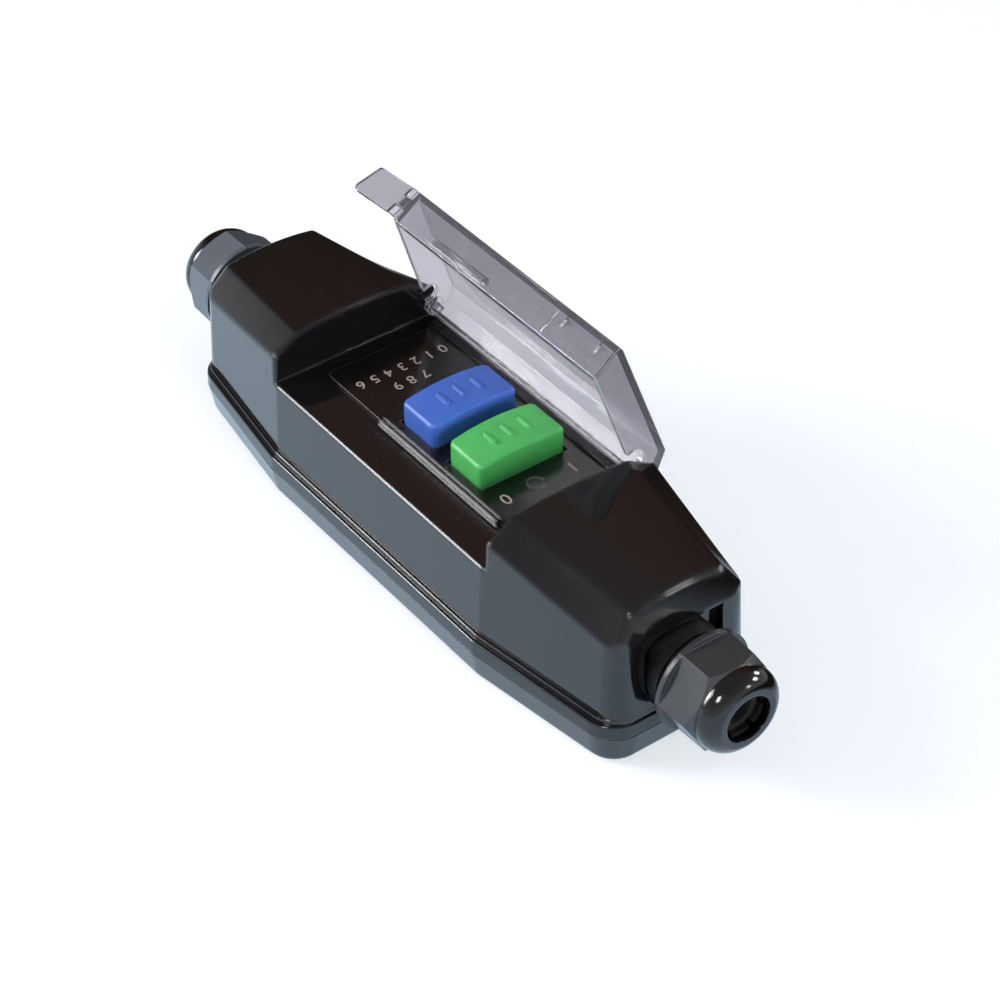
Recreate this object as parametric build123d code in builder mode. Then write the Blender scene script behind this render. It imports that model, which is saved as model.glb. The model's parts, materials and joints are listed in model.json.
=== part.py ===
"""In-line residual current device: a two-part housing with a clear hinged cover, two push
buttons, a cable gland at each end and the switching mechanism inside. Millimetres, +Z up,
X along the length, -Y the front where the cover's skirt closes, origin below the middle."""

import math
import os

from build123d import *

os.makedirs("parts", exist_ok=True)

# Buttons.
button_length_x = 13.8
button_width_y = 26.2
button_centre_y = 4.0
reset_x = 14.7
button_pitch = 20.0
test_x = reset_x - button_pitch
button_fit = 0.35
button_end_z = 42.2
button_crown = 1.5
button_corner_round = 1.8
button_top_round = 1.1
button_flange_out = 1.3
button_flange_thickness = 1.4
button_flange_gap = 0.4
button_wall = 1.6
stem_radius = 2.6
stem_bottom_z = 28.5
grip_bars = 3
grip_bar_pitch = 5.2
grip_bar_length = 5.0
grip_bar_width = 1.1
grip_bar_proud = 0.45

# Fascia plate, indicator window and catch rib on the deck.
window_offset = 5.8
window_x = reset_x + button_length_x / 2 + window_offset
window_y = 3.2
window_radius = 2.3
window_shoulder = 0.7
window_dome = 0.5
fascia_beyond_window = 12.6
fascia_half_length = window_x + fascia_beyond_window
fascia_front_y = -13.0
fascia_back_y = 20.8
fascia_proud = 0.5
fascia_sink = 0.4
fascia_seat = 0.05
fascia_corner_radius = 1.5
rib_beyond_button = 10.1
rib_start_x = test_x - rib_beyond_button
rib_beyond_window = 7.2
rib_end_x = window_x + rib_beyond_window
rib_front_y = -14.1
rib_width = 0.7
rib_gap = 0.7
rib_height = 1.5
rib_clear = 0.15

# Recess between the two hoods, and its deck.
fascia_end_gap = 5.2
recess_half_length = fascia_half_length + fascia_end_gap
deck_z = 35.2
deck_thickness = 2.2
rim_round = 0.9

# Housing plan, measured at the ledge where the upper walls stand on the flange.
middle_half_width = 26.9
end_half_width = 20.4
end_half_length = 89.8
bend_in = 1.0
bend_x = recess_half_length - bend_in
bend_radius = 6.0
wall_corner_radius = 6.5
wall_draft = 2.5
wall = 2.2

# Flange that carries the parting line, and the bead at the foot of the upper wall.
parting_z = 8.9
parting_gap = 0.25
ledge_z = 12.9
bead_z = 14.4
flange_side_out = 2.1
flange_end_out = 0.7
flange_corner_radius = 9.0
flange_draft = 6.0
flange_top_round = 0.5
bead_side_out = 0.9
bead_corner_radius = 8.0
bead_round = 0.4
floor = 2.4
bottom_round = 2.6
tray_foot_side_out = 0.5
tray_foot_end_out = -0.9
tray_foot_corner_radius = 7.4
tray_draft = 10.2

# Hood roof: a gently crowned top, a facet down each side and a steep one at the end.
# The first value is at the recess, the second at the end ridge.
ridge_in = 3.6
ridge_x = end_half_length - ridge_in
apex_z = (49.2, 45.4)
shoulder_y = (17.8, 13.8)
shoulder_z = (47.7, 43.8)
eave_y = (25.4, 19.6)
eave_z = (43.4, 36.4)
facet_overrun = 9.0
end_facet_foot_in = 0.9
end_facet_foot_x = end_half_length - end_facet_foot_in
end_facet_foot_z = 35.4
roof_thickness = 2.4
hood_edge_round = 1.2
ridge_round = 2.2
recess_edge_round = 0.9
mouth_z = 44.0

# Gland axis and the U-shaped pocket around it in each end wall.
gland_z = 23.0
pocket_half_width = 11.8
pocket_depth = 3.2
pocket_floor_x = end_half_length - pocket_depth
end_wall = 2.2
pocket_rim = 1.4

# Clear cover, drawn closed and then turned open about the hinge axis.
hinge_side_in = 3.5
hinge_y = middle_half_width - hinge_side_in
hinge_z = 39.3
open_angle = 71.0
cover_thickness = 1.6
cover_top_z = 47.4
cover_front_y = -16.0
skirt_foot_y = -12.9
skirt_foot_z = 38.0
cover_back_in = 1.4
cover_back_y = hinge_y - cover_back_in
back_edge_out = 2.6
back_edge_y = hinge_y + back_edge_out
back_edge_z = 43.4
back_foot_out = 1.5
back_foot_y = hinge_y + back_foot_out
back_foot_z = 37.6
cover_end_gap = 1.0
cover_back_half_length = recess_half_length - cover_end_gap
cover_side_draft = 3.0
cover_front_half_length = cover_back_half_length - cover_side_draft
cover_round = 1.2
cover_stretch = 1.0
ear_thickness = 1.8
ear_radius = 2.6
hinge_pin_radius = 1.1
hinge_pin_fit = 0.3
hinge_pin_reach = 2.6
hinge_pin_seat = 1.8
arch_width = 4.6
arch_height = 4.2
arch_in = 5.8
arch_y = hinge_y - arch_in
gusset_x = (22.0, 35.0)
gusset_thickness = 0.8
gusset_depth = 4.0
latch_bar_x = -16.0
latch_bar_length = 22.0
latch_bar_width = 1.6
latch_bar_proud = 0.8
latch_bar_rise = 1.6

# Pull tab hinged to the far end of the skirt.
tab_hinge_gap = 1.7
tab_hinge_x = -(cover_front_half_length + tab_hinge_gap)
tab_length = 16.0
tab_thickness = 1.4
tab_gap = 0.35
tab_margin = 0.5
tab_barrel_radius = 1.1
tab_knuckle = 2.6
tab_pin_radius = 0.4
tab_pin_fit = 0.3
tab_web = 2.4
tab_web_thickness = 1.2
tab_notch = 1.5
tab_notch_reach = 6.0
tab_corner_round = 1.2
tab_tilt = 12.0
tab_end_slant = 1.8
tab_end_drop = 0.8

# Cable glands.
gland_shank_radius = 10.0
gland_bore_radius = 6.7
gland_collar_radius = 11.2
gland_collar_length = 6.0
gland_collar_end_x = pocket_floor_x + gland_collar_length
gland_thread_length = 13.4
gland_tip_x = gland_collar_end_x + gland_thread_length
gland_tail_length = 7.0
gland_tail_x = pocket_floor_x - gland_tail_length
gland_socket_radius = 8.5
gland_socket_depth = 7.0
gland_hole_fit = 0.25
locknut_across_flats = 23.0
locknut_length = 3.0
nut_across_flats = 24.0
nut_collar_radius = 13.6
nut_collar_length = 1.4
nut_hex_length = 12.1
nut_dome_length = 5.5
nut_dome_foot_radius = 11.6
nut_bevel = 2.0
nut_cone_start = 0.3
nut_lip_length = 1.2
far_nut_turn = 29.0
nut_dome_tip_radius = 8.2
nut_hole_radius = 6.5
nut_fit = 0.35
nut_taper = 1.2
near_nut_gap = 2.8
near_nut_x = gland_collar_end_x + near_nut_gap
far_nut_gap = 5.4
far_nut_x = gland_collar_end_x + far_nut_gap
claw_fit = 0.4
claw_start = 5.3
claw_bevel = 2.0
claw_ring_length = 3.4
claw_reach = 9.6
claw_wall = 2.0
claw_slot = 1.4
claw_slots = 6
seal_fit = 0.05
seal_wall = 1.6
seal_start = 1.5
seal_length = 6.4

# Screws that hold the halves, and the gasket between them.
screw_in = 3.8
screw_x = recess_half_length - screw_in
screw_side_in = 6.5
screw_y = middle_half_width - screw_side_in
boss_radius = 3.1
screw_shank_radius = 1.5
screw_head_radius = 2.8
screw_head_height = 2.0
screw_head_sink = 0.6
screw_tip_z = 24.0
screw_recess = 1.1
screw_spare = 1.0
screw_fit = 0.2
screw_slot = 0.7
gasket_width = 1.5
gasket_in = 0.55
gasket_sink = 0.8
gasket_top_z = 9.5
gasket_corner_radius = 5.5

# Circuit board and what stands on it.
board_end_in = 9.2
board_half_length = recess_half_length - board_end_in
board_side_in = 7.5
board_half_width = middle_half_width - board_side_in
board_bottom_z = 11.0
board_thickness = 1.6
board_post_end_in = 4.0
board_post_x = board_half_length - board_post_end_in
board_post_side_in = 3.0
board_post_y = board_half_width - board_post_side_in
board_post_radius = 2.6
board_peg_radius = 1.3
board_peg_proud = 0.6
board_peg_fit = 0.1
board_corner_radius = 2.0
seat = 0.02

core_to_button = 21.7
core_x = test_x - core_to_button
core_y = 4.0
core_radius = 8.6
core_bore_radius = 4.2
core_width = 9.0
core_round = 1.0

coil_in = 0.7
coil_x = test_x - coil_in
coil_y = -14.2
coil_radius = 4.6
coil_length = 13.0
coil_rise = 6.4
coil_flange = 1.0
coil_groove = 0.7
frame_thickness = 1.2
frame_half_width = 5.0
plunger_radius = 1.8
plunger_fit = 0.4
plunger_reach = 4.0
plunger_head_radius = 3.0
plunger_head_length = 1.6

switch_length = 11.0
switch_width = 9.0
switch_top_z = 25.0
dome_foot_radius = 4.2
dome_top_radius = 2.4
dome_wall = 0.7
dome_gap = 0.15

yoke_length = 18.2
yoke_width = 22.0
yoke_plate_z = 23.8
yoke_plate_thickness = 1.2
yoke_leg = 1.6
guide_pin_radius = 1.5
guide_pin_fit = 0.4
guide_pin_gap = 0.6
carrier_length = 11.0
carrier_width = 17.0
carrier_gap = 0.3
carrier_height = 4.0
bridge_length = 15.0
bridge_width = 3.2
bridge_thickness = 0.9
bridge_offset_y = 5.2
contact_radius = 1.1
contact_height = 0.6
contact_open_gap = 2.5
bracket_thickness = 0.9
bracket_half_pitch = 6.4
bracket_column_out = 2.7

flag_stem_out = 2.0
flag_x = window_x + flag_stem_out
flag_travel = 4.0
flag_plate_length = 9.0
flag_plate_width = 4.6
flag_plate_thickness = 0.8
flag_plate_gap = 0.5
flag_stem = 2.0
flag_foot_length = 5.0
flag_foot_thickness = 1.2

capacitor_x = coil_x
capacitor_y = 15.0
capacitor_size = (13.0, 5.6, 9.0)
varistor_in = 1.7
varistor_x = reset_x - varistor_in
varistor_y = -14.4
varistor_radius = 4.6
varistor_thickness = 3.4
varistor_rise = 1.2
varistor_lead_radius = 0.4
chip_out = 1.5
chip_x = core_x + chip_out
chip_y = -11.0
chip_size = (9.0, 7.0, 1.8)
chip_round = 0.3
chip_leads = 6
chip_lead_pitch = 1.4
chip_lead_width = 0.6
chip_lead_out = 1.2
chip_lead_height = 0.8

# Conductors.
conductor_radius = 1.3
conductor_half_pitch = 1.9
conductor_bend = 3.0
conductor_inside = 2.5
conductor_gap = 0.1
supply_bend_in = 12.0
core_entry_out = 10.0
supply_end_out = 11.2
load_beyond_flag = 4.8
load_bend_in = 14.0
load_rise_z = 18.5
earth_bend_in = 8.0
earth_low_in = 15.0
earth_z = 7.2

# Terminals and cable clamps under the hoods.
clamp_in = 12.6
clamp_x = pocket_floor_x - clamp_in
terminal_to_clamp = 14.0
terminal_x = clamp_x - terminal_to_clamp
terminal_pitch = 10.0
terminal_base = (13.0, 31.0, 6.0)
terminal_block = (9.0, 7.0, 9.0)
terminal_rib = 1.2
terminal_bore_radius = 1.6
terminal_screw_radius = 1.7
terminal_screw_head_radius = 2.1
terminal_screw_head = 1.6
clamp_post_y = 11.4
clamp_post_radius = 3.0
saddle_thickness = 3.0
clamp_post_top_z = 22.4
clamp_bar_width = 7.0
clamp_bar_thickness = 1.8
clamp_arch_radius = 6.4
clamp_screw_radius = 1.4
clamp_screw_head_radius = 2.5
clamp_screw_head = 1.5
clamp_screw_depth = 8.0

far = 300.0
root3 = math.sqrt(3)
half_root = math.sqrt(0.5)


def plan(height, side_out, end_out, corner_radius):
    """Housing outline in plan at a height, grown sideways and endways."""
    wide = middle_half_width + side_out
    narrow = end_half_width + side_out
    end = end_half_length + end_out
    with BuildSketch(Plane.XY.offset(height)) as sketch:
        with BuildLine():
            Polyline(
                (-bend_x, -wide),
                (bend_x, -wide),
                (end, -narrow),
                (end, narrow),
                (bend_x, wide),
                (-bend_x, wide),
                (-end, narrow),
                (-end, -narrow),
                close=True,
            )
        make_face()
        columns = sketch.vertices().group_by(Axis.X)
        fillet(columns[0] + columns[-1], corner_radius)
        columns = sketch.vertices().filter_by(lambda v: abs(abs(v.X) - bend_x) < seat)
        fillet(columns, bend_radius)
    return sketch.sketch


def hood_section(station, lowering):
    """Cross-section of a hood at one distance from the middle, its facets carried outward."""
    share = (station - recess_half_length) / (ridge_x - recess_half_length)

    def between(pair):
        return pair[0] + share * (pair[1] - pair[0])

    apex = between(apex_z) - lowering
    y_in = between(shoulder_y)
    z_in = between(shoulder_z) - lowering
    fall = (between(shoulder_z) - between(eave_z)) / (between(eave_y) - between(shoulder_y))
    y_out = y_in + facet_overrun + between(eave_y) - between(shoulder_y)
    z_out = z_in - fall * (y_out - y_in)
    with BuildSketch(Plane.YZ.offset(station)) as section:
        with BuildLine():
            ThreePointArc((-y_in, z_in), (0, apex), (y_in, z_in))
            Polyline(
                (y_in, z_in),
                (y_out, z_out),
                (y_out, parting_z),
                (-y_out, parting_z),
                (-y_out, z_out),
                (-y_in, z_in),
            )
        make_face()
    return section.sketch


def envelope(recess_half, top, lowering, end_inset):
    """Everything under the two roofs and the deck, for the outside or for the hollow."""
    outer_x = end_half_length + wall
    lean = (end_facet_foot_x - ridge_x) / (apex_z[1] - end_facet_foot_z)
    rise = apex_z[0] - end_facet_foot_z
    with BuildPart() as shape:
        loft([hood_section(recess_half, lowering), hood_section(outer_x, lowering)], ruled=True)
        with BuildSketch(Plane.XZ):
            with BuildLine():
                foot = end_facet_foot_x - end_inset
                Polyline(
                    (foot + lean * rise, end_facet_foot_z - rise),
                    (foot - lean * rise, end_facet_foot_z + rise),
                    (far, end_facet_foot_z + rise),
                    (far, end_facet_foot_z - rise),
                    close=True,
                )
            make_face()
        extrude(amount=far, both=True, mode=Mode.SUBTRACT)
        mirror(about=Plane.YZ)
        with Locations((0, 0, parting_z)):
            Box(
                2 * recess_half,
                2 * (middle_half_width + wall),
                top - parting_z,
                align=(Align.CENTER, Align.CENTER, Align.MIN),
            )
    return shape.part


def hull_solid(side_in, lowering, end_in, recess_half, top):
    """Drafted walls of the upper housing under its roof, shrunk by the given amounts."""
    with BuildPart() as solid:
        extrude(
            plan(ledge_z, -side_in, -end_in, wall_corner_radius - side_in / 2),
            amount=apex_z[0],
            taper=wall_draft,
        )
        add(envelope(recess_half, top, lowering, end_in), mode=Mode.INTERSECT)
    return solid.part


def edges_near(part, x, y, z, reach):
    """Edges whose middle lies near the mirror images of a point."""
    found = []
    for edge in part.edges():
        middle = edge.center()
        offsets = (abs(abs(middle.X) - x), abs(abs(middle.Y) - y), abs(middle.Z - z))
        if max(offsets) < reach:
            found.append(edge)
    return found


def is_mouth(point):
    """True on the edges where a hood ends at the recess."""
    return abs(abs(point.X) - recess_half_length) < recess_edge_round / 3 and point.Z > mouth_z


def gland_opening(side, grow, start, depth):
    """U-shaped block around a gland axis, open upward to the end facet."""
    radius = pocket_half_width + grow
    with BuildPart() as block:
        with BuildSketch(Plane.YZ.offset(side * start)):
            with Locations((0, gland_z)):
                Circle(radius)
                Rectangle(
                    2 * radius,
                    end_facet_foot_z + grow - gland_z,
                    align=(Align.CENTER, Align.MIN),
                )
        extrude(amount=side * depth)
    return block.part


def gasket_band(bottom, top, grow):
    """Band that follows the joint between the halves, its width grown by an amount."""
    half = gasket_width / 2 + grow
    with BuildPart() as band:
        extrude(
            plan(bottom, half - gasket_in, half - gasket_in, gasket_corner_radius + half),
            amount=top - bottom,
        )
        extrude(
            plan(bottom, -half - gasket_in, -half - gasket_in, gasket_corner_radius - half),
            amount=top - bottom,
            mode=Mode.SUBTRACT,
        )
    return band.part


def fascia_block(bottom, top, grow):
    """Fascia plate with a notch in front, through which the catch rib stands on the deck."""
    with BuildPart() as plate:
        with BuildSketch(Plane.XY.offset(bottom)):
            with Locations((0, fascia_y)):
                RectangleRounded(
                    2 * (fascia_half_length + grow), fascia_width + 2 * grow, fascia_corner_radius
                )
            with Locations((rib_middle_x, fascia_front_y)):
                Rectangle(
                    rib_length + 2 * (rib_clear - grow),
                    2 * (rib_back_y + rib_clear - grow - fascia_front_y),
                    mode=Mode.SUBTRACT,
                )
        extrude(amount=top - bottom)
    return plate.part


def turned_on_x(side, start, profile):
    """Solid turned about a gland axis from (distance outward, radius) points."""
    with BuildPart() as solid:
        with BuildSketch(Plane.XZ):
            with BuildLine():
                Polyline(
                    *[(side * (start + along), gland_z + radius) for along, radius in profile],
                    close=True,
                )
            make_face()
        revolve(axis=Axis((0, 0, gland_z), (1, 0, 0)))
    return solid.part


def lead(points, radius, bend):
    """Round conductor along a bent path."""
    with BuildPart() as wire:
        with BuildLine() as route:
            FilletPolyline(*points, radius=bend)
        with BuildSketch(Plane(route.line @ 0, z_dir=route.line % 0)):
            Circle(radius)
        sweep()
    return wire.part


# How far from its expected middle an edge is looked for.
edge_reach = 1.5
long_edge_reach = 2.0

# Places that several pieces share.
hood_middle_x = (ridge_x + recess_half_length) / 2
shoulder_middle = (hood_middle_x, sum(shoulder_y) / 2, sum(shoulder_z) / 2)
eave_middle = (hood_middle_x, sum(eave_y) / 2, sum(eave_z) / 2)
facet_corner = (
    (ridge_x + end_facet_foot_x) / 2,
    (shoulder_y[1] + eave_y[1]) / 2,
    (apex_z[1] + end_facet_foot_z) / 2,
)
screw_places = [(x, y) for x in (-screw_x, screw_x) for y in (-screw_y, screw_y)]
post_places = [(x, y) for x in (-board_post_x, board_post_x) for y in (-board_post_y, board_post_y)]
clamp_places = [(x, y) for x in (-clamp_x, clamp_x) for y in (-clamp_post_y, clamp_post_y)]
terminal_places = [
    (x, y) for x in (-terminal_x, terminal_x) for y in (-terminal_pitch, 0, terminal_pitch)
]
button_places = [(test_x, button_centre_y), (reset_x, button_centre_y)]
ceiling_z = deck_z - deck_thickness
deck_cut_depth = 3 * deck_thickness
pocket_cut_depth = 2 * end_wall
upper_foot_z = parting_z + parting_gap
board_top_z = board_bottom_z + board_thickness
fascia_top_z = deck_z + fascia_proud
rib_middle_x = (rib_start_x + rib_end_x) / 2
rib_length = rib_end_x - rib_start_x
rib_back_y = rib_front_y + 2 * rib_width + rib_gap
fascia_y = (fascia_front_y + fascia_back_y) / 2
fascia_width = fascia_back_y - fascia_front_y
upright = (Align.CENTER, Align.CENTER, Align.MIN)
hanging = (Align.CENTER, Align.CENTER, Align.MAX)

# Upper housing: drafted walls under two hoods, the deck with its wells, bead and flange.
with BuildPart() as bead:
    extrude(plan(ledge_z - seat, bead_side_out, 0, bead_corner_radius), amount=bead_z - ledge_z + seat)
    fillet(bead.faces().sort_by(Axis.Z)[-1].edges(), bead_round)
with BuildPart() as flange:
    extrude(
        plan(upper_foot_z, flange_side_out, flange_end_out, flange_corner_radius),
        amount=ledge_z - upper_foot_z,
        taper=flange_draft / 2,
    )
    fillet(flange.faces().sort_by(Axis.Z)[-1].edges(), flange_top_round)
with BuildPart() as upper_housing:
    add(hull_solid(0, 0, 0, recess_half_length, deck_z))
    ridges = edges_near(upper_housing, ridge_x, 0, apex_z[1], edge_reach)
    shoulders = edges_near(upper_housing, *shoulder_middle, long_edge_reach)
    corners = edges_near(upper_housing, *facet_corner, edge_reach)
    fillet(ridges + shoulders + corners, ridge_round)
    fillet(edges_near(upper_housing, *eave_middle, long_edge_reach), hood_edge_round)
    mouths = upper_housing.edges().filter_by(lambda e: is_mouth(e.center()))
    fillet(mouths, recess_edge_round)
    fillet(edges_near(upper_housing, 0, middle_half_width, deck_z, edge_reach), rim_round)
    add(bead.part)
    add(flange.part)
    # The hollow, open downward.
    add(
        hull_solid(wall, roof_thickness, wall, recess_half_length + wall, ceiling_z),
        mode=Mode.SUBTRACT,
    )
    extrude(
        plan(upper_foot_z, -wall, -wall, wall_corner_radius - wall / 2),
        amount=ledge_z - upper_foot_z,
        mode=Mode.SUBTRACT,
    )
    # End walls brought inward around the gland pockets.
    for side in (-1, 1):
        add(gland_opening(side, wall, pocket_floor_x - end_wall, end_wall + pocket_rim))
        add(gland_opening(side, 0, pocket_floor_x, pocket_cut_depth + pocket_rim), mode=Mode.SUBTRACT)
        with BuildSketch(Plane.YZ.offset(side * (pocket_floor_x - pocket_cut_depth))):
            with Locations((0, gland_z)):
                Circle(gland_shank_radius + gland_hole_fit)
        extrude(amount=side * 2 * pocket_cut_depth, mode=Mode.SUBTRACT)
        with BuildSketch(Plane.YZ.offset(side * recess_half_length)):
            with Locations((hinge_y, hinge_z)):
                Circle(hinge_pin_radius)
        extrude(amount=side * hinge_pin_seat, mode=Mode.SUBTRACT)
    # Screw bosses under the deck.
    with Locations(*[(x, y, upper_foot_z) for x, y in screw_places]):
        Cylinder(boss_radius, ceiling_z + seat - upper_foot_z, align=upright)
        Cylinder(
            screw_shank_radius,
            screw_tip_z + screw_spare - upper_foot_z,
            align=upright,
            mode=Mode.SUBTRACT,
        )
    # Catch rib for the skirt: two thin walls with a groove between.
    for step in (0, rib_width + rib_gap):
        with Locations((rib_middle_x, rib_front_y + step, deck_z - seat)):
            Box(
                rib_length,
                rib_width,
                rib_height + seat,
                align=(Align.CENTER, Align.MIN, Align.MIN),
            )
    # Seat of the fascia plate, the button wells and the window hole.
    add(fascia_block(deck_z - fascia_sink, fascia_top_z, fascia_seat), mode=Mode.SUBTRACT)
    with Locations(*[(x, y, deck_z) for x, y in button_places]):
        Box(
            button_length_x + 2 * button_fit,
            button_width_y + 2 * button_fit,
            deck_cut_depth,
            mode=Mode.SUBTRACT,
        )
    with Locations((window_x, window_y, deck_z)):
        Cylinder(window_radius + fascia_seat, deck_cut_depth, mode=Mode.SUBTRACT)
    add(gasket_band(upper_foot_z, gasket_top_z, fascia_seat), mode=Mode.SUBTRACT)
upper_housing.part.label = "upper_housing"
export_step(upper_housing.part, "parts/upper_housing.step")

# Lower housing: a tray with posts for the board, cable saddles, clamp posts and screw bosses.
with BuildPart() as lower_housing:
    extrude(
        plan(0, tray_foot_side_out, tray_foot_end_out, tray_foot_corner_radius),
        amount=parting_z,
        taper=-tray_draft,
    )
    fillet(lower_housing.edges().group_by(Axis.Z)[0], bottom_round)
    extrude(
        plan(floor, -wall, -wall, wall_corner_radius - wall / 2),
        amount=parting_z - floor,
        mode=Mode.SUBTRACT,
    )
    add(gasket_band(parting_z - gasket_sink, parting_z, fascia_seat), mode=Mode.SUBTRACT)
    with Locations(*[(x, y, floor - seat) for x, y in post_places]):
        Cylinder(board_post_radius, board_bottom_z - floor + seat, align=upright)
        Cylinder(board_peg_radius, board_top_z + board_peg_proud - floor + seat, align=upright)
    with Locations(*[(x, y, floor - seat) for x, y in screw_places]):
        Cylinder(boss_radius, parting_z - floor + seat, align=upright)
    with Locations(*[(x, y, 0) for x, y in screw_places]):
        Cylinder(
            screw_head_radius + screw_fit,
            screw_head_sink + screw_head_height,
            align=upright,
            mode=Mode.SUBTRACT,
        )
        Cylinder(screw_shank_radius + screw_fit, parting_z, align=upright, mode=Mode.SUBTRACT)
    # Posts for the cable clamps, with a hollowed saddle between each pair.
    with Locations((-clamp_x, 0, floor - seat), (clamp_x, 0, floor - seat)):
        Box(saddle_thickness, 2 * clamp_post_y, clamp_post_top_z - floor + seat, align=upright)
    with Locations(*[(x, y, floor - seat) for x, y in clamp_places]):
        Cylinder(clamp_post_radius, clamp_post_top_z - floor + seat, align=upright)
    with BuildSketch(Plane.YZ.offset(-far / 2)):
        with Locations((0, clamp_post_top_z)):
            Circle(clamp_arch_radius)
    extrude(amount=far, mode=Mode.SUBTRACT)
    with Locations(*[(x, y, clamp_post_top_z) for x, y in clamp_places]):
        Cylinder(clamp_screw_radius, clamp_screw_depth, align=hanging, mode=Mode.SUBTRACT)
lower_housing.part.label = "lower_housing"
export_step(lower_housing.part, "parts/lower_housing.step")

# Gasket squeezed between the halves.
with BuildPart() as housing_gasket:
    add(gasket_band(parting_z - gasket_sink, gasket_top_z, 0))
housing_gasket.part.label = "housing_gasket"
export_step(housing_gasket.part, "parts/housing_gasket.step")

# Four screws from below, each with a cross recess.
with BuildPart() as housing_screws:
    with Locations(*[(x, y, screw_head_sink) for x, y in screw_places]):
        Cylinder(screw_head_radius, screw_head_height, align=upright)
        Cylinder(screw_shank_radius, screw_tip_z - screw_head_sink, align=upright)
    with Locations(*[(x, y, screw_head_sink) for x, y in screw_places]):
        Box(2 * screw_shank_radius, screw_slot, screw_recess, align=upright, mode=Mode.SUBTRACT)
        Box(screw_slot, 2 * screw_shank_radius, screw_recess, align=upright, mode=Mode.SUBTRACT)
housing_screws.part.label = "housing_screws"
export_step(housing_screws.part, "parts/housing_screws.step")

# Fascia plate around the buttons and the window.
with BuildPart() as fascia_plate:
    add(fascia_block(deck_z - fascia_sink, fascia_top_z, 0))
    with Locations(*[(x, y, deck_z) for x, y in button_places]):
        Box(
            button_length_x + 2 * button_fit,
            button_width_y + 2 * button_fit,
            deck_cut_depth,
            mode=Mode.SUBTRACT,
        )
    with Locations((window_x, window_y, deck_z)):
        Cylinder(window_radius + fascia_seat, deck_cut_depth, mode=Mode.SUBTRACT)
fascia_plate.part.label = "fascia_plate"
export_step(fascia_plate.part, "parts/fascia_plate.step")

# Clear window: a stepped plug with a low dome.
with BuildPart() as indicator_window:
    with BuildSketch(Plane.XZ.offset(-window_y)):
        with BuildLine():
            Polyline(
                (window_x, fascia_top_z + window_dome),
                (window_x, ceiling_z - window_shoulder),
                (window_x + window_radius + window_shoulder, ceiling_z - window_shoulder),
                (window_x + window_radius + window_shoulder, ceiling_z),
                (window_x + window_radius, ceiling_z),
                (window_x + window_radius, fascia_top_z),
            )
            RadiusArc(
                (window_x + window_radius, fascia_top_z),
                (window_x, fascia_top_z + window_dome),
                -(window_radius**2 + window_dome**2) / (2 * window_dome),
            )
        make_face()
    revolve(axis=Axis((window_x, window_y, 0), (0, 0, 1)))
indicator_window.part.label = "indicator_window"
export_step(indicator_window.part, "parts/indicator_window.step")

# Stub pins that carry the cover, one in each hood face.
with BuildPart() as hinge_pins:
    for side in (-1, 1):
        with BuildSketch(Plane.YZ.offset(side * (recess_half_length + hinge_pin_seat))):
            with Locations((hinge_y, hinge_z)):
                Circle(hinge_pin_radius)
        extrude(amount=-side * (hinge_pin_seat + hinge_pin_reach))
hinge_pins.part.label = "hinge_pins"
export_step(hinge_pins.part, "parts/hinge_pins.step")


def push_button(place_x):
    """Crowned button, hollow below, with a retaining flange under the deck and a stem."""
    flange_top = ceiling_z - button_flange_gap
    flange_bottom = flange_top - button_flange_thickness
    half_y = button_width_y / 2
    with BuildPart() as cap:
        with BuildSketch(Plane.YZ.offset(place_x - button_length_x / 2)):
            with BuildLine():
                Polyline(
                    (button_centre_y - half_y, button_end_z),
                    (button_centre_y - half_y, flange_bottom),
                    (button_centre_y + half_y, flange_bottom),
                    (button_centre_y + half_y, button_end_z),
                )
                ThreePointArc(
                    (button_centre_y - half_y, button_end_z),
                    (button_centre_y, button_end_z + button_crown),
                    (button_centre_y + half_y, button_end_z),
                )
            make_face()
        extrude(amount=button_length_x)
        fillet(cap.edges().filter_by(Axis.Z), button_corner_round)
        fillet(cap.edges().filter_by_position(Axis.Z, button_end_z - 1, far), button_top_round)
        with Locations((place_x, button_centre_y, flange_bottom)):
            Box(
                button_length_x + 2 * button_flange_out,
                button_width_y + 2 * button_flange_out,
                button_flange_thickness,
                align=upright,
            )
            Box(
                button_length_x - 2 * button_wall,
                button_width_y - 2 * button_wall,
                button_end_z - button_wall - flange_bottom,
                align=upright,
                mode=Mode.SUBTRACT,
            )
        with Locations((place_x, button_centre_y, stem_bottom_z)):
            Cylinder(stem_radius, button_end_z - stem_bottom_z, align=upright)
        with BuildSketch(Plane.XY.offset(button_end_z)):
            with Locations((place_x, button_centre_y)):
                with GridLocations(0, grip_bar_pitch, 1, grip_bars):
                    SlotOverall(grip_bar_length, grip_bar_width)
        extrude(amount=button_crown + grip_bar_proud)
    return cap.part


def return_dome(place_x, foot_z):
    """Thin rubber cone that brings a button back up."""
    tip_z = stem_bottom_z - dome_gap
    with BuildPart() as dome:
        with Locations((place_x, button_centre_y, foot_z)):
            Cone(dome_foot_radius, dome_top_radius, tip_z - foot_z, align=upright)
            Cone(
                dome_foot_radius - dome_wall,
                dome_top_radius - dome_wall,
                tip_z - foot_z - dome_wall,
                align=upright,
                mode=Mode.SUBTRACT,
            )
    return dome.part


# Test button and reset button.
with BuildPart() as test_button:
    add(push_button(test_x))
test_button.part.label = "test_button"
export_step(test_button.part, "parts/test_button.step")

with BuildPart() as reset_button:
    add(push_button(reset_x))
reset_button.part.label = "reset_button"
export_step(reset_button.part, "parts/reset_button.step")

with BuildPart() as test_return_dome:
    add(return_dome(test_x, switch_top_z))
test_return_dome.part.label = "test_return_dome"
export_step(test_return_dome.part, "parts/test_return_dome.step")

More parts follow.
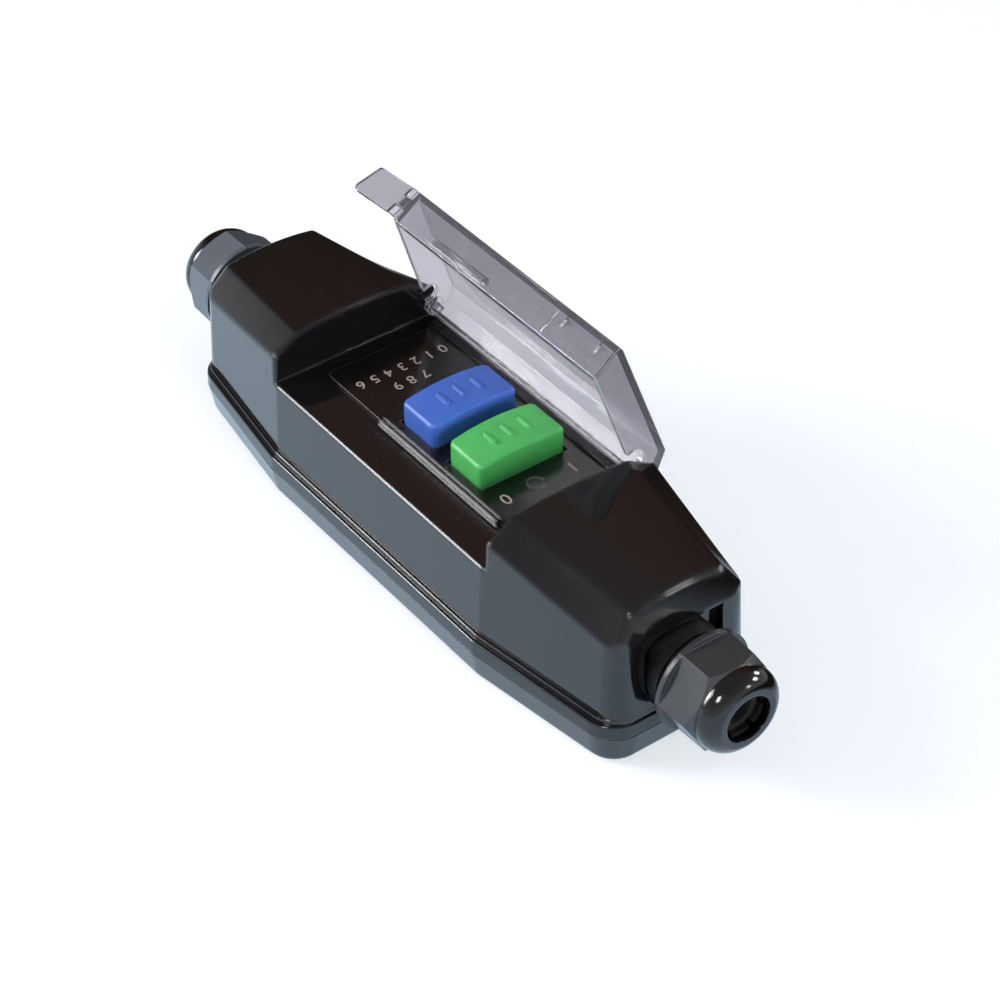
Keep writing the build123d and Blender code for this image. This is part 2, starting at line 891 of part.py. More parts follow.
with BuildPart() as reset_return_dome:
    add(return_dome(reset_x, yoke_plate_z + yoke_plate_thickness))
reset_return_dome.part.label = "reset_return_dome"
export_step(reset_return_dome.part, "parts/reset_return_dome.step")


# Clear cover and its pull tab: drawn closed, then turned open about the hinge axis.
skirt_run = skirt_foot_y - cover_front_y
skirt_drop = cover_top_z - skirt_foot_z
skirt_depth = math.hypot(skirt_run, skirt_drop)
skirt_plane = Plane(
    origin=(0, cover_front_y, cover_top_z),
    x_dir=(1, 0, 0),
    z_dir=(0, -skirt_drop, -skirt_run),
)
hinge_line = Axis((0, hinge_y, hinge_z), (1, 0, 0))
back_run = back_edge_y - back_foot_y
back_drop = back_edge_z - back_foot_z


def cover_shape(inset, stretch):
    """Body inside the cover's outline, moved inward, its open side stretched by a share."""
    with BuildPart() as shape:
        with BuildSketch(Plane.YZ.offset(-cover_back_half_length)):
            with BuildLine():
                Polyline(
                    (back_foot_y - stretch * back_run, back_foot_z - stretch * back_drop),
                    (back_edge_y, back_edge_z),
                    (cover_back_y, cover_top_z),
                    (cover_front_y, cover_top_z),
                    (skirt_foot_y + stretch * skirt_run, skirt_foot_z - stretch * skirt_drop),
                    close=True,
                )
            make_face()
            if inset:
                offset(amount=-inset)
        extrude(amount=2 * cover_back_half_length)
        with BuildSketch(Plane.XY):
            with BuildLine():
                front = cover_front_half_length - inset
                back = cover_back_half_length - inset
                Polyline(
                    (-front, cover_front_y),
                    (front, cover_front_y),
                    (back, back_edge_y),
                    (-back, back_edge_y),
                    close=True,
                )
            make_face()
        extrude(amount=2 * cover_top_z, mode=Mode.INTERSECT)
    return shape.part


def plate_on(plane, size, along, up, thickness):
    """Plate centred on a plane, its middle at a place along X and a height up the plane."""
    with BuildPart() as plate:
        with BuildSketch(plane.offset(-thickness / 2)):
            with Locations((along, up)):
                Rectangle(*size)
        extrude(amount=thickness)
    return plate.part


def hinge_barrel(radius, low, high):
    """Round bar on the tab's hinge axis between two heights."""
    foot = tab_plane.from_local_coords((0, low, 0))
    with BuildPart() as barrel:
        with BuildSketch(Plane(origin=foot, z_dir=tab_plane.y_dir)):
            Circle(radius)
        extrude(amount=high - low)
    return barrel.part


# The tab's plane leans from the skirt's, so that the folded tab clears the deck's rim.
skirt_middle = skirt_plane.offset(-cover_thickness / 2).from_local_coords(
    (tab_hinge_x, -skirt_depth / 2, 0)
)
tab_plane = Plane(origin=skirt_middle, x_dir=(1, 0, 0), z_dir=skirt_plane.z_dir).rotated(
    (-tab_tilt, 0, 0)
)
tab_high = skirt_depth / 2 - tab_margin
knuckle_foot = tab_high - tab_knuckle
knuckles = [(-tab_high, -knuckle_foot), (knuckle_foot, tab_high)]
with BuildPart() as closed_lid:
    add(cover_shape(0, 0))
    folds = closed_lid.edges().filter_by(Axis.X).sort_by(Axis.Z)[-3:]
    fillet(folds, cover_round)
    add(cover_shape(cover_thickness, cover_stretch), mode=Mode.SUBTRACT)
    for side in (-1, 1):
        with BuildSketch(Plane.YZ.offset(side * cover_back_half_length)):
            with Locations((hinge_y, hinge_z)):
                Circle(ear_radius)
        extrude(amount=-side * ear_thickness)
        with BuildSketch(Plane.YZ.offset(side * cover_back_half_length)):
            with Locations((hinge_y, hinge_z)):
                Circle(hinge_pin_radius + hinge_pin_fit)
            with Locations((arch_y, back_foot_z)):
                SlotOverall(2 * arch_height, arch_width, rotation=90)
        extrude(amount=-side * 2 * ear_thickness, mode=Mode.SUBTRACT)
    # Gussets between the top and the skirt.
    for place in gusset_x:
        with BuildSketch(Plane.YZ.offset(place)):
            with BuildLine():
                share = gusset_depth / skirt_drop
                top = cover_top_z - cover_thickness / 2
                Polyline(
                    (cover_front_y + cover_thickness, top),
                    (cover_front_y + cover_thickness + gusset_depth, top),
                    (cover_front_y + cover_thickness + share * skirt_run, top - gusset_depth),
                    close=True,
                )
            make_face()
        extrude(amount=gusset_thickness)
    # Latch bar near the skirt's free edge.
    bar = (latch_bar_length, latch_bar_width)
    bar_up = latch_bar_rise - skirt_depth
    bar_plane = skirt_plane.offset((latch_bar_proud - seat) / 2)
    add(plate_on(bar_plane, bar, latch_bar_x, bar_up, latch_bar_proud + seat))
    # Knuckles and pin for the pull tab.
    web = (tab_web, tab_knuckle)
    for low, high in knuckles:
        add(hinge_barrel(tab_barrel_radius, low, high))
        add(plate_on(tab_plane, web, tab_web / 2, (low + high) / 2, tab_web_thickness))
    add(hinge_barrel(tab_pin_radius, -tab_high, tab_high))
with BuildPart() as clear_lid:
    add(closed_lid.part.rotate(hinge_line, -open_angle))
clear_lid.part.label = "clear_lid"
export_step(clear_lid.part, "parts/clear_lid.step")

with BuildPart() as closed_tab:
    with BuildSketch(tab_plane.offset(-tab_thickness / 2)):
        with BuildLine():
            Polyline(
                (0, -tab_high),
                (0, tab_high),
                (tab_end_slant - tab_length, tab_high - tab_end_drop),
                (-tab_length, -tab_high - tab_end_drop),
                close=True,
            )
        make_face()
    extrude(amount=tab_thickness)
    corners = closed_tab.edges().filter_by(Axis((0, 0, 0), tab_plane.z_dir))
    fillet(corners.sort_by(Axis.X)[:2], tab_corner_round)
    notch = (2 * tab_notch, tab_knuckle + 2 * tab_gap)
    for low, high in knuckles:
        add(plate_on(tab_plane, notch, 0, (low + high) / 2, tab_notch_reach), mode=Mode.SUBTRACT)
    inner_high = knuckle_foot - tab_gap
    bore_high = inner_high + tab_gap
    add(hinge_barrel(tab_barrel_radius, -inner_high, inner_high))
    add(hinge_barrel(tab_pin_radius + tab_pin_fit, -bore_high, bore_high), mode=Mode.SUBTRACT)
with BuildPart() as lid_pull_tab:
    add(closed_tab.part.rotate(hinge_line, -open_angle))
lid_pull_tab.part.label = "lid_pull_tab"
export_step(lid_pull_tab.part, "parts/lid_pull_tab.step")


def gland_body(side):
    """Threaded body through the end wall: tail, shank, collar and socket for the claw."""
    floor_x = gland_tip_x - gland_socket_depth
    return turned_on_x(
        side,
        0,
        [
            (gland_tail_x, gland_bore_radius),
            (gland_tail_x, gland_shank_radius),
            (pocket_floor_x, gland_shank_radius),
            (pocket_floor_x, gland_collar_radius),
            (gland_collar_end_x, gland_collar_radius),
            (gland_collar_end_x, gland_shank_radius),
            (gland_tip_x, gland_shank_radius),
            (gland_tip_x, gland_socket_radius),
            (floor_x, gland_socket_radius),
            (floor_x, gland_bore_radius),
        ],
    )


def clamping_claw(side, nut_x):
    """Split ring whose fingers reach into the nut's dome and close on the cable."""
    outer = gland_socket_radius - claw_fit
    start = nut_x + claw_start
    with BuildPart() as claw:
        add(
            turned_on_x(
                side,
                start,
                [
                    (0, outer - claw_wall),
                    (0, outer),
                    (claw_reach - claw_bevel, outer),
                    (claw_reach, outer - claw_bevel / 2),
                    (claw_reach, outer - claw_wall),
                ],
            )
        )
        with BuildSketch(Plane.YZ.offset(side * (start + claw_ring_length))):
            with Locations((0, gland_z)):
                with PolarLocations(0, claw_slots // 2, angular_range=180):
                    Rectangle(3 * outer, claw_slot)
        extrude(amount=side * claw_reach, mode=Mode.SUBTRACT)
    return claw.part


def gland_seal(side, nut_x):
    """Rubber sleeve inside the claw."""
    outer = gland_socket_radius - claw_fit - claw_wall - seal_fit
    start = nut_x + claw_start + seal_start
    inner = outer - seal_wall
    return turned_on_x(
        side, start, [(0, inner), (0, outer), (seal_length, outer), (seal_length, inner)]
    )


def gland_nut(side, nut_x, turn):
    """Domed hexagon nut with a round collar behind."""
    tip = nut_hex_length + nut_dome_length
    bore = gland_shank_radius + nut_fit
    lip = nut_hex_length + nut_cone_start
    with BuildPart() as nut:
        with BuildSketch(Plane.YZ.offset(side * nut_x)):
            with Locations((0, gland_z)):
                RegularPolygon(nut_across_flats / root3, 6, rotation=turn)
        extrude(amount=side * nut_hex_length, taper=nut_taper)
        # Corners turned off in front.
        add(
            turned_on_x(
                side,
                nut_x,
                [
                    (0, 0),
                    (0, nut_across_flats),
                    (nut_hex_length - nut_bevel, nut_collar_radius + nut_bevel / 4),
                    (nut_hex_length, nut_dome_foot_radius),
                    (nut_hex_length, 0),
                ],
            ),
            mode=Mode.INTERSECT,
        )
        add(
            turned_on_x(
                side,
                nut_x,
                [
                    (0, 0),
                    (0, nut_collar_radius),
                    (nut_collar_length, nut_collar_radius),
                    (nut_collar_length, 0),
                ],
            )
        )
        with BuildSketch(Plane.XZ):
            with BuildLine():
                foot = side * (nut_x + nut_hex_length)
                end = side * (nut_x + tip)
                foot_z = gland_z + nut_dome_foot_radius
                tip_z = gland_z + nut_dome_tip_radius
                belly = (foot + half_root * (end - foot), tip_z + half_root * (foot_z - tip_z))
                Line((foot, gland_z), (foot, foot_z))
                ThreePointArc((foot, foot_z), belly, (end, tip_z))
                Line((end, gland_z + nut_dome_tip_radius), (end, gland_z))
                Line((end, gland_z), (foot, gland_z))
            make_face()
        revolve(axis=Axis((0, 0, gland_z), (1, 0, 0)))
        add(
            turned_on_x(
                side,
                nut_x,
                [
                    (0, 0),
                    (0, bore),
                    (lip, bore),
                    (tip - nut_lip_length, nut_hole_radius),
                    (tip, nut_hole_radius),
                    (tip, 0),
                ],
            ),
            mode=Mode.SUBTRACT,
        )
    return nut.part


# The two cable glands.
with BuildPart() as near_gland_body:
    add(gland_body(1))
near_gland_body.part.label = "near_gland_body"
export_step(near_gland_body.part, "parts/near_gland_body.step")

with BuildPart() as far_gland_body:
    add(gland_body(-1))
far_gland_body.part.label = "far_gland_body"
export_step(far_gland_body.part, "parts/far_gland_body.step")

with BuildPart() as gland_locknuts:
    for side in (-1, 1):
        locknut_x = pocket_floor_x - end_wall - locknut_length
        with BuildSketch(Plane.YZ.offset(side * locknut_x)):
            with Locations((0, gland_z)):
                RegularPolygon(locknut_across_flats / root3, 6)
                Circle(gland_shank_radius, mode=Mode.SUBTRACT)
        extrude(amount=side * locknut_length)
gland_locknuts.part.label = "gland_locknuts"
export_step(gland_locknuts.part, "parts/gland_locknuts.step")

with BuildPart() as near_clamping_claw:
    add(clamping_claw(1, near_nut_x))
near_clamping_claw.part.label = "near_clamping_claw"
export_step(near_clamping_claw.part, "parts/near_clamping_claw.step")

with BuildPart() as far_clamping_claw:
    add(clamping_claw(-1, far_nut_x))
far_clamping_claw.part.label = "far_clamping_claw"
export_step(far_clamping_claw.part, "parts/far_clamping_claw.step")

with BuildPart() as near_gland_seal:
    add(gland_seal(1, near_nut_x))
near_gland_seal.part.label = "near_gland_seal"
export_step(near_gland_seal.part, "parts/near_gland_seal.step")

with BuildPart() as far_gland_seal:
    add(gland_seal(-1, far_nut_x))
far_gland_seal.part.label = "far_gland_seal"
export_step(far_gland_seal.part, "parts/far_gland_seal.step")

with BuildPart() as near_gland_nut:
    add(gland_nut(1, near_nut_x, 0))
near_gland_nut.part.label = "near_gland_nut"
export_step(near_gland_nut.part, "parts/near_gland_nut.step")

with BuildPart() as far_gland_nut:
    add(gland_nut(-1, far_nut_x, far_nut_turn))
far_gland_nut.part.label = "far_gland_nut"
export_step(far_gland_nut.part, "parts/far_gland_nut.step")

# Circuit board on four pegged posts.
with BuildPart() as circuit_board:
    with BuildSketch(Plane.XY.offset(board_bottom_z)):
        RectangleRounded(2 * board_half_length, 2 * board_half_width, board_corner_radius)
        with Locations(*post_places):
            Circle(board_peg_radius + board_peg_fit, mode=Mode.SUBTRACT)
    extrude(amount=board_thickness)
circuit_board.part.label = "circuit_board"
export_step(circuit_board.part, "parts/circuit_board.step")

# Summing transformer: a wound ring on a foot, its bore along X.
core_z = board_top_z + core_radius
with BuildPart() as current_transformer:
    with BuildSketch(Plane.YZ.offset(core_x - core_width / 2)):
        with Locations((core_y, core_z)):
            Circle(core_radius)
    extrude(amount=core_width)
    fillet(current_transformer.edges(), core_round)
    with Locations((core_x, core_y, board_top_z)):
        Box(core_width - 2 * core_round, core_radius, core_radius / 2, align=upright)
    with BuildSketch(Plane.YZ.offset(core_x - core_width)):
        with Locations((core_y, core_z)):
            Circle(core_bore_radius)
    extrude(amount=2 * core_width, mode=Mode.SUBTRACT)
current_transformer.part.label = "current_transformer"
export_step(current_transformer.part, "parts/current_transformer.step")

# Conductors: supply through the core to the board, load from the board, earth straight past.
block_z = floor + terminal_base[2]
bore_z = block_z + terminal_block[2] / 2
inner_x = terminal_x - terminal_block[0] / 2 + conductor_inside
with BuildPart() as supply_conductors:
    for terminal_y, core_side in ((0, -1), (terminal_pitch, 1)):
        through_y = core_y + core_side * conductor_half_pitch
        add(
            lead(
                [
                    (-inner_x, terminal_y, bore_z),
                    (-terminal_x + supply_bend_in, terminal_y, bore_z),
                    (core_x - core_entry_out, through_y, core_z),
                    (test_x - supply_end_out, through_y, core_z),
                    (test_x - supply_end_out, through_y, board_top_z),
                ],
                conductor_radius,
                conductor_bend,
            )
        )
supply_conductors.part.label = "supply_conductors"
export_step(supply_conductors.part, "parts/supply_conductors.step")

with BuildPart() as load_conductors:
    for terminal_y in (0, terminal_pitch):
        add(
            lead(
                [
                    (flag_x + load_beyond_flag, terminal_y, board_top_z),
                    (flag_x + load_beyond_flag, terminal_y, load_rise_z),
                    (terminal_x - load_bend_in, terminal_y, bore_z),
                    (inner_x, terminal_y, bore_z),
                ],
                conductor_radius,
                conductor_bend,
            )
        )
load_conductors.part.label = "load_conductors"
export_step(load_conductors.part, "parts/load_conductors.step")

earth_bend_x = terminal_x - earth_bend_in
earth_low_x = terminal_x - earth_low_in
with BuildPart() as earth_conductor:
    add(
        lead(
            [
                (-inner_x, -terminal_pitch, bore_z),
                (-earth_bend_x, -terminal_pitch, bore_z),
                (-earth_low_x, -terminal_pitch, earth_z),
                (earth_low_x, -terminal_pitch, earth_z),
                (earth_bend_x, -terminal_pitch, bore_z),
                (inner_x, -terminal_pitch, bore_z),
            ],
            conductor_radius,
            conductor_bend,
        )
    )
earth_conductor.part.label = "earth_conductor"
export_step(earth_conductor.part, "parts/earth_conductor.step")

# Trip solenoid: bent frame, coil on its bobbin, sliding plunger.
coil_z = board_top_z + coil_rise
with BuildPart() as solenoid_frame:
    with Locations((coil_x, coil_y, board_top_z)):
        Box(
            coil_length + 2 * frame_thickness,
            2 * frame_half_width,
            frame_thickness,
            align=upright,
        )
    for side in (-1, 1):
        with Locations((coil_x + side * (coil_length + frame_thickness) / 2, coil_y, board_top_z)):
            Box(
                frame_thickness,
                2 * frame_half_width,
                coil_rise + frame_half_width,
                align=upright,
            )
    with BuildSketch(Plane.YZ.offset(coil_x - coil_length)):
        with Locations((coil_y, coil_z)):
            Circle(plunger_radius + plunger_fit)
    extrude(amount=2 * coil_length, mode=Mode.SUBTRACT)
solenoid_frame.part.label = "solenoid_frame"
export_step(solenoid_frame.part, "parts/solenoid_frame.step")

with BuildPart() as solenoid_coil:
    with BuildSketch(Plane.YZ.offset(coil_x - coil_length / 2)):
        with Locations((coil_y, coil_z)):
            Circle(coil_radius)
            Circle(plunger_radius + plunger_fit, mode=Mode.SUBTRACT)
    extrude(amount=coil_length)
    with BuildSketch(Plane.YZ.offset(coil_x - coil_length / 2 + coil_flange)):
        with Locations((coil_y, coil_z)):
            Circle(coil_radius)
            Circle(coil_radius - coil_groove, mode=Mode.SUBTRACT)
    extrude(amount=coil_length - 2 * coil_flange, mode=Mode.SUBTRACT)
solenoid_coil.part.label = "solenoid_coil"
export_step(solenoid_coil.part, "parts/solenoid_coil.step")

frame_end_x = coil_x + coil_length / 2 + frame_thickness
with BuildPart() as solenoid_plunger:
    with BuildSketch(Plane.YZ.offset(coil_x - coil_length / 2)):
        with Locations((coil_y, coil_z)):
            Circle(plunger_radius)
    extrude(amount=coil_length + frame_thickness + plunger_reach)
    with BuildSketch(Plane.YZ.offset(frame_end_x + plunger_reach)):
        with Locations((coil_y, coil_z)):
            Circle(plunger_head_radius)
    extrude(amount=plunger_head_length)
solenoid_plunger.part.label = "solenoid_plunger"
export_step(solenoid_plunger.part, "parts/solenoid_plunger.step")

# Test switch under the test button.
with BuildPart() as test_switch:
    with Locations((test_x, button_centre_y, board_top_z)):
        Box(switch_length, switch_width, switch_top_z - board_top_z, align=upright)
    fillet(test_switch.edges().filter_by(Axis.Z), chip_round)
test_switch.part.label = "test_switch"
export_step(test_switch.part, "parts/test_switch.step")

# Yoke over the contacts: a plate on four legs with a guide pin for the carrier.
with BuildPart() as contact_yoke:
    with Locations((reset_x, button_centre_y, yoke_plate_z)):
        Box(yoke_length, yoke_width, yoke_plate_thickness, align=upright)
    with Locations((reset_x, button_centre_y, board_top_z)):
        with GridLocations(yoke_length - yoke_leg, yoke_width - yoke_leg, 2, 2):
            Box(yoke_leg, yoke_leg, yoke_plate_z - board_top_z + seat, align=upright)
    with Locations((reset_x, button_centre_y, board_top_z + guide_pin_gap)):
        Cylinder(
            guide_pin_radius, yoke_plate_z - board_top_z - guide_pin_gap + seat, align=upright
        )
contact_yoke.part.label = "contact_yoke"
export_step(contact_yoke.part, "parts/contact_yoke.step")

# Carrier that lifts the moving contact bridges.
carrier_bottom_z = board_top_z + carrier_gap
carrier_top_z = carrier_bottom_z + carrier_height
bridge_places = [
    (reset_x, button_centre_y - bridge_offset_y),
    (reset_x, button_centre_y + bridge_offset_y),
]
with BuildPart() as contact_carrier:
    with Locations((reset_x, button_centre_y, carrier_bottom_z)):
        Box(carrier_length, carrier_width, carrier_height, align=upright)
        Cylinder(
            guide_pin_radius + guide_pin_fit, carrier_height, align=upright, mode=Mode.SUBTRACT
        )
contact_carrier.part.label = "contact_carrier"
export_step(contact_carrier.part, "parts/contact_carrier.step")

with BuildPart() as moving_contacts:
    with Locations(*[(x, y, carrier_top_z) for x, y in bridge_places]):
        Box(bridge_length, bridge_width, bridge_thickness, align=upright)
        with GridLocations(2 * bracket_half_pitch, 0, 2, 1):
            Cylinder(contact_radius, bridge_thickness + contact_height, align=upright)
moving_contacts.part.label = "moving_contacts"
export_step(moving_contacts.part, "parts/moving_contacts.step")

# Fixed contacts on four angled brackets above the bridges.
fixed_pad_z = carrier_top_z + bridge_thickness + contact_height + contact_open_gap
bracket_top_z = fixed_pad_z + contact_height + bracket_thickness
with BuildPart() as fixed_contacts:
    for place_x, place_y in bridge_places:
        for side in (-1, 1):
            pad_x = place_x + side * bracket_half_pitch
            column_x = pad_x + side * bracket_column_out
            with Locations((column_x, place_y, board_top_z)):
                Box(bracket_thickness, bridge_width, bracket_top_z - board_top_z, align=upright)
            arm_inner = pad_x - side * contact_radius
            arm_outer = column_x + side * bracket_thickness / 2
            with Locations(((arm_inner + arm_outer) / 2, place_y, bracket_top_z)):
                Box(abs(arm_outer - arm_inner), bridge_width, bracket_thickness, align=hanging)
            with Locations((pad_x, place_y, bracket_top_z)):
                Cylinder(contact_radius, bracket_thickness + contact_height, align=hanging)
fixed_contacts.part.label = "fixed_contacts"
export_step(fixed_contacts.part, "parts/fixed_contacts.step")

# Flag under the window: a foot on the board, a stem and a two-field plate.
flag_y = window_y - flag_travel / 2
flag_top_z = ceiling_z - window_shoulder - flag_plate_gap
with BuildPart() as indicator_flag:
    with Locations((flag_x, flag_y, board_top_z + carrier_gap)):
        Box(flag_foot_length, flag_foot_length, flag_foot_thickness, align=upright)
        Box(flag_stem, flag_stem, flag_top_z - board_top_z - carrier_gap, align=upright)
    with Locations((window_x, flag_y, flag_top_z)):
        Box(flag_plate_width, flag_plate_length, flag_plate_thickness, align=hanging)
indicator_flag.part.label = "indicator_flag"
export_step(indicator_flag.part, "parts/indicator_flag.step")

# Electronic pieces on the board.
with BuildPart() as film_capacitor:
    with Locations((capacitor_x, capacitor_y, board_top_z)):
        Box(*capacitor_size, align=upright)
    fillet(film_capacitor.edges().filter_by(Axis.Z), 2 * chip_round)
film_capacitor.part.label = "film_capacitor"
export_step(film_capacitor.part, "parts/film_capacitor.step")

varistor_z = board_top_z + varistor_rise + varistor_radius
with BuildPart() as varistor:
    with BuildSketch(Plane.XZ.offset(-varistor_y - varistor_thickness / 2)):
        with Locations((varistor_x, varistor_z)):
            Circle(varistor_radius)
    extrude(amount=varistor_thickness)
    fillet(varistor.edges(), core_round)
    with Locations((varistor_x, varistor_y, board_top_z)):
        with GridLocations(varistor_radius, 0, 2, 1):
            Cylinder(varistor_lead_radius, varistor_rise + varistor_radius / 2, align=upright)
varistor.part.label = "varistor"
export_step(varistor.part, "parts/varistor.step")

with BuildPart() as control_chip:
    with Locations((chip_x, chip_y, board_top_z + chip_round)):
        Box(*chip_size, align=upright)
    with Locations((chip_x, chip_y, board_top_z)):
        with GridLocations(chip_lead_pitch, 0, chip_leads, 1):
            Box(
                chip_lead_width,
                chip_size[1] + 2 * chip_lead_out,
                chip_lead_height,
                align=upright,
            )
control_chip.part.label = "control_chip"
export_step(control_chip.part, "parts/control_chip.step")

# Terminals: a ribbed base, three brass blocks and three screws at each end.
with BuildPart() as terminal_bases:
    with Locations((-terminal_x, 0, floor), (terminal_x, 0, floor)):
        Box(*terminal_base, align=upright)
        with GridLocations(0, terminal_pitch, 1, 4):
            Box(
                terminal_base[0],
                terminal_rib,
                terminal_base[2] + terminal_block[2] - terminal_rib,
                align=upright,
            )
terminal_bases.part.label = "terminal_bases"
export_step(terminal_bases.part, "parts/terminal_bases.step")

with BuildPart() as terminal_blocks:
    with Locations(*[(x, y, block_z) for x, y in terminal_places]):
        Box(*terminal_block, align=upright)
    fillet(terminal_blocks.edges().filter_by(Axis.Z), 2 * chip_round)
    for wire_y in (-terminal_pitch, 0, terminal_pitch):
        with BuildSketch(Plane.YZ.offset(-far / 2)):
            with Locations((wire_y, bore_z)):
                Circle(terminal_bore_radius)
        extrude(amount=far, mode=Mode.SUBTRACT)
    with Locations(*[(x, y, bore_z) for x, y in terminal_places]):
        Cylinder(terminal_screw_radius, terminal_block[2], align=upright, mode=Mode.SUBTRACT)
terminal_blocks.part.label = "terminal_blocks"
export_step(terminal_blocks.part, "parts/terminal_blocks.step")

wire_top_z = bore_z + conductor_radius + conductor_gap
block_top_z = block_z + terminal_block[2]
with BuildPart() as terminal_screws:
    with Locations(*[(x, y, wire_top_z) for x, y in terminal_places]):
        Cylinder(terminal_screw_radius, block_top_z - wire_top_z + seat, align=upright)
    with Locations(*[(x, y, block_top_z) for x, y in terminal_places]):
        Cylinder(terminal_screw_head_radius, terminal_screw_head, align=upright)
    with Locations(*[(x, y, block_top_z + terminal_screw_head) for x, y in terminal_places]):
        Box(
            screw_slot,
            2 * terminal_screw_head_radius,
            terminal_screw_head / 2,
            align=hanging,
            mode=Mode.SUBTRACT,
        )
terminal_screws.part.label = "terminal_screws"
export_step(terminal_screws.part, "parts/terminal_screws.step")

# Arched cable clamps across the saddles, and their screws.
with BuildPart() as cable_clamp_bars:
    for side in (-1, 1):
        with BuildSketch(Plane.YZ.offset(side * clamp_x - clamp_bar_width / 2)):
            with Locations((0, clamp_post_top_z)):
                Circle(clamp_arch_radius + clamp_bar_thickness)
                Rectangle(
                    2 * (clamp_post_y + clamp_post_radius),
                    clamp_bar_thickness,
                    align=(Align.CENTER, Align.MIN),
                )
                Circle(clamp_arch_radius, mode=Mode.SUBTRACT)
                Rectangle(
                    far, far, align=(Align.CENTER, Align.MAX), mode=Mode.SUBTRACT
                )
        extrude(amount=clamp_bar_width)
    with Locations(*[(x, y, clamp_post_top_z) for x, y in clamp_places]):
        Cylinder(
            clamp_screw_radius + screw_fit, 2 * clamp_bar_thickness, mode=Mode.SUBTRACT
        )
cable_clamp_bars.part.label = "cable_clamp_bars"
export_step(cable_clamp_bars.part, "parts/cable_clamp_bars.step")

clamp_head_z = clamp_post_top_z + clamp_bar_thickness
with BuildPart() as clamp_screws:
    with Locations(*[(x, y, clamp_head_z) for x, y in clamp_places]):
        Cylinder(clamp_screw_head_radius, clamp_screw_head, align=upright)
        Cylinder(
            clamp_screw_radius, clamp_bar_thickness + clamp_screw_depth, align=hanging
        )
    with Locations(*[(x, y, clamp_head_z + clamp_screw_head) for x, y in clamp_places]):
        Box(
            screw_slot,
            2 * clamp_screw_radius,
            clamp_screw_head / 2,
            align=hanging,
            mode=Mode.SUBTRACT,
        )
        Box(
            2 * clamp_screw_radius,
            screw_slot,
            clamp_screw_head / 2,
            align=hanging,
            mode=Mode.SUBTRACT,
        )
clamp_screws.part.label = "clamp_screws"
export_step(clamp_screws.part, "parts/clamp_screws.step")
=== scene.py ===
"""Inline residual current device: finishes and fine detail around its packed solids."""

import json
import math

import bmesh
import bpy
from bpy.props import FloatProperty, FloatVectorProperty, IntProperty, PointerProperty
from mathutils import Matrix, Vector

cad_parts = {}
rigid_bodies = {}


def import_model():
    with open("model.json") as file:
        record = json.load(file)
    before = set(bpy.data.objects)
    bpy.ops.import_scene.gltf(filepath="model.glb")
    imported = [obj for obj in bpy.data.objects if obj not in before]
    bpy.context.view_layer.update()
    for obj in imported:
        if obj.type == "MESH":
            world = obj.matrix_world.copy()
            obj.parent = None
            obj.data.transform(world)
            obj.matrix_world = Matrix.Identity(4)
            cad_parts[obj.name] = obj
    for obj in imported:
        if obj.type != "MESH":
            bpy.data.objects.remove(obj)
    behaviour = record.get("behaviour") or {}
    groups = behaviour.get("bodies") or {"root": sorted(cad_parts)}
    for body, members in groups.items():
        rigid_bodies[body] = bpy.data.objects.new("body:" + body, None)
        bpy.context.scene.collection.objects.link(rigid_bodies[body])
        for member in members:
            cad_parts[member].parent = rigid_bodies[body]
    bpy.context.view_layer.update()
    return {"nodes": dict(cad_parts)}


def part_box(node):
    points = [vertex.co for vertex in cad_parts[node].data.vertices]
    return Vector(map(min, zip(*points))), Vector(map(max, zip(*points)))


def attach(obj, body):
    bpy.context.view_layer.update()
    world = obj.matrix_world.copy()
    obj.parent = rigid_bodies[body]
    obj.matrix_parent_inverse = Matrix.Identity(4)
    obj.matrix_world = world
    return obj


bl_info = {
    "name": "Inline residual current device",
    "version": (1, 0, 0),
    "blender": (4, 5, 0),
    "location": "3D View > Sidebar > Device",
    "description": "Dresses the solids of an inline residual current device",
    "category": "Object",
}

MM = 0.001
# Grain stretched into lines along one of the device's axes.
ALONG_X = (0.1, 1, 1)
ALONG_Y = (1, 0.1, 1)

for leftover in list(bpy.data.objects):
    bpy.data.objects.remove(leftover)
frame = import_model()


def linear(red, green, blue):
    """Scene-linear colour of a display colour given from 0 to 255."""

    def channel(level):
        share = level / 255
        return share / 12.92 if share <= 0.04045 else ((share + 0.055) / 1.055) ** 2.4

    return channel(red), channel(green), channel(blue)


def colour(name, description, *display):
    """Property that holds a colour."""
    return FloatVectorProperty(
        name=name,
        description=description,
        subtype="COLOR",
        size=3,
        min=0,
        max=1,
        default=linear(*display),
    )


def length(name, description, default):
    """Property that holds a length in metres."""
    return FloatProperty(
        name=name, description=description, subtype="DISTANCE", unit="LENGTH", min=0,
        default=default,
    )


def share(name, description, default):
    """Property that holds a share from 0 to 1."""
    return FloatProperty(
        name=name, description=description, subtype="FACTOR", min=0, max=1, default=default
    )


class HousingSettings(bpy.types.PropertyGroup):
    """Colours and gloss of the housing"""

    shell: colour("Shell", "Colour of the upper housing", 15, 14, 16)
    tray: colour("Tray", "Colour of the lower housing", 20, 20, 23)
    dust: colour("Dust", "Colour of the dust on the housing", 96, 96, 100)
    cord: colour("Sealing cord", "Colour of the cord between the halves", 52, 52, 54)
    gloss: share("Roughness", "Roughness of the polished shell", 0.075)
    edge: length("Edge", "Width over which the small moulded edges look rounded", 0.36 * MM)
    soft_edge: length("Soft edge", "Width over which the edges of the hoods look rounded", 1.8 * MM)
    soft_above: length("Soft above", "Height from which the edges are soft", 36.9 * MM)


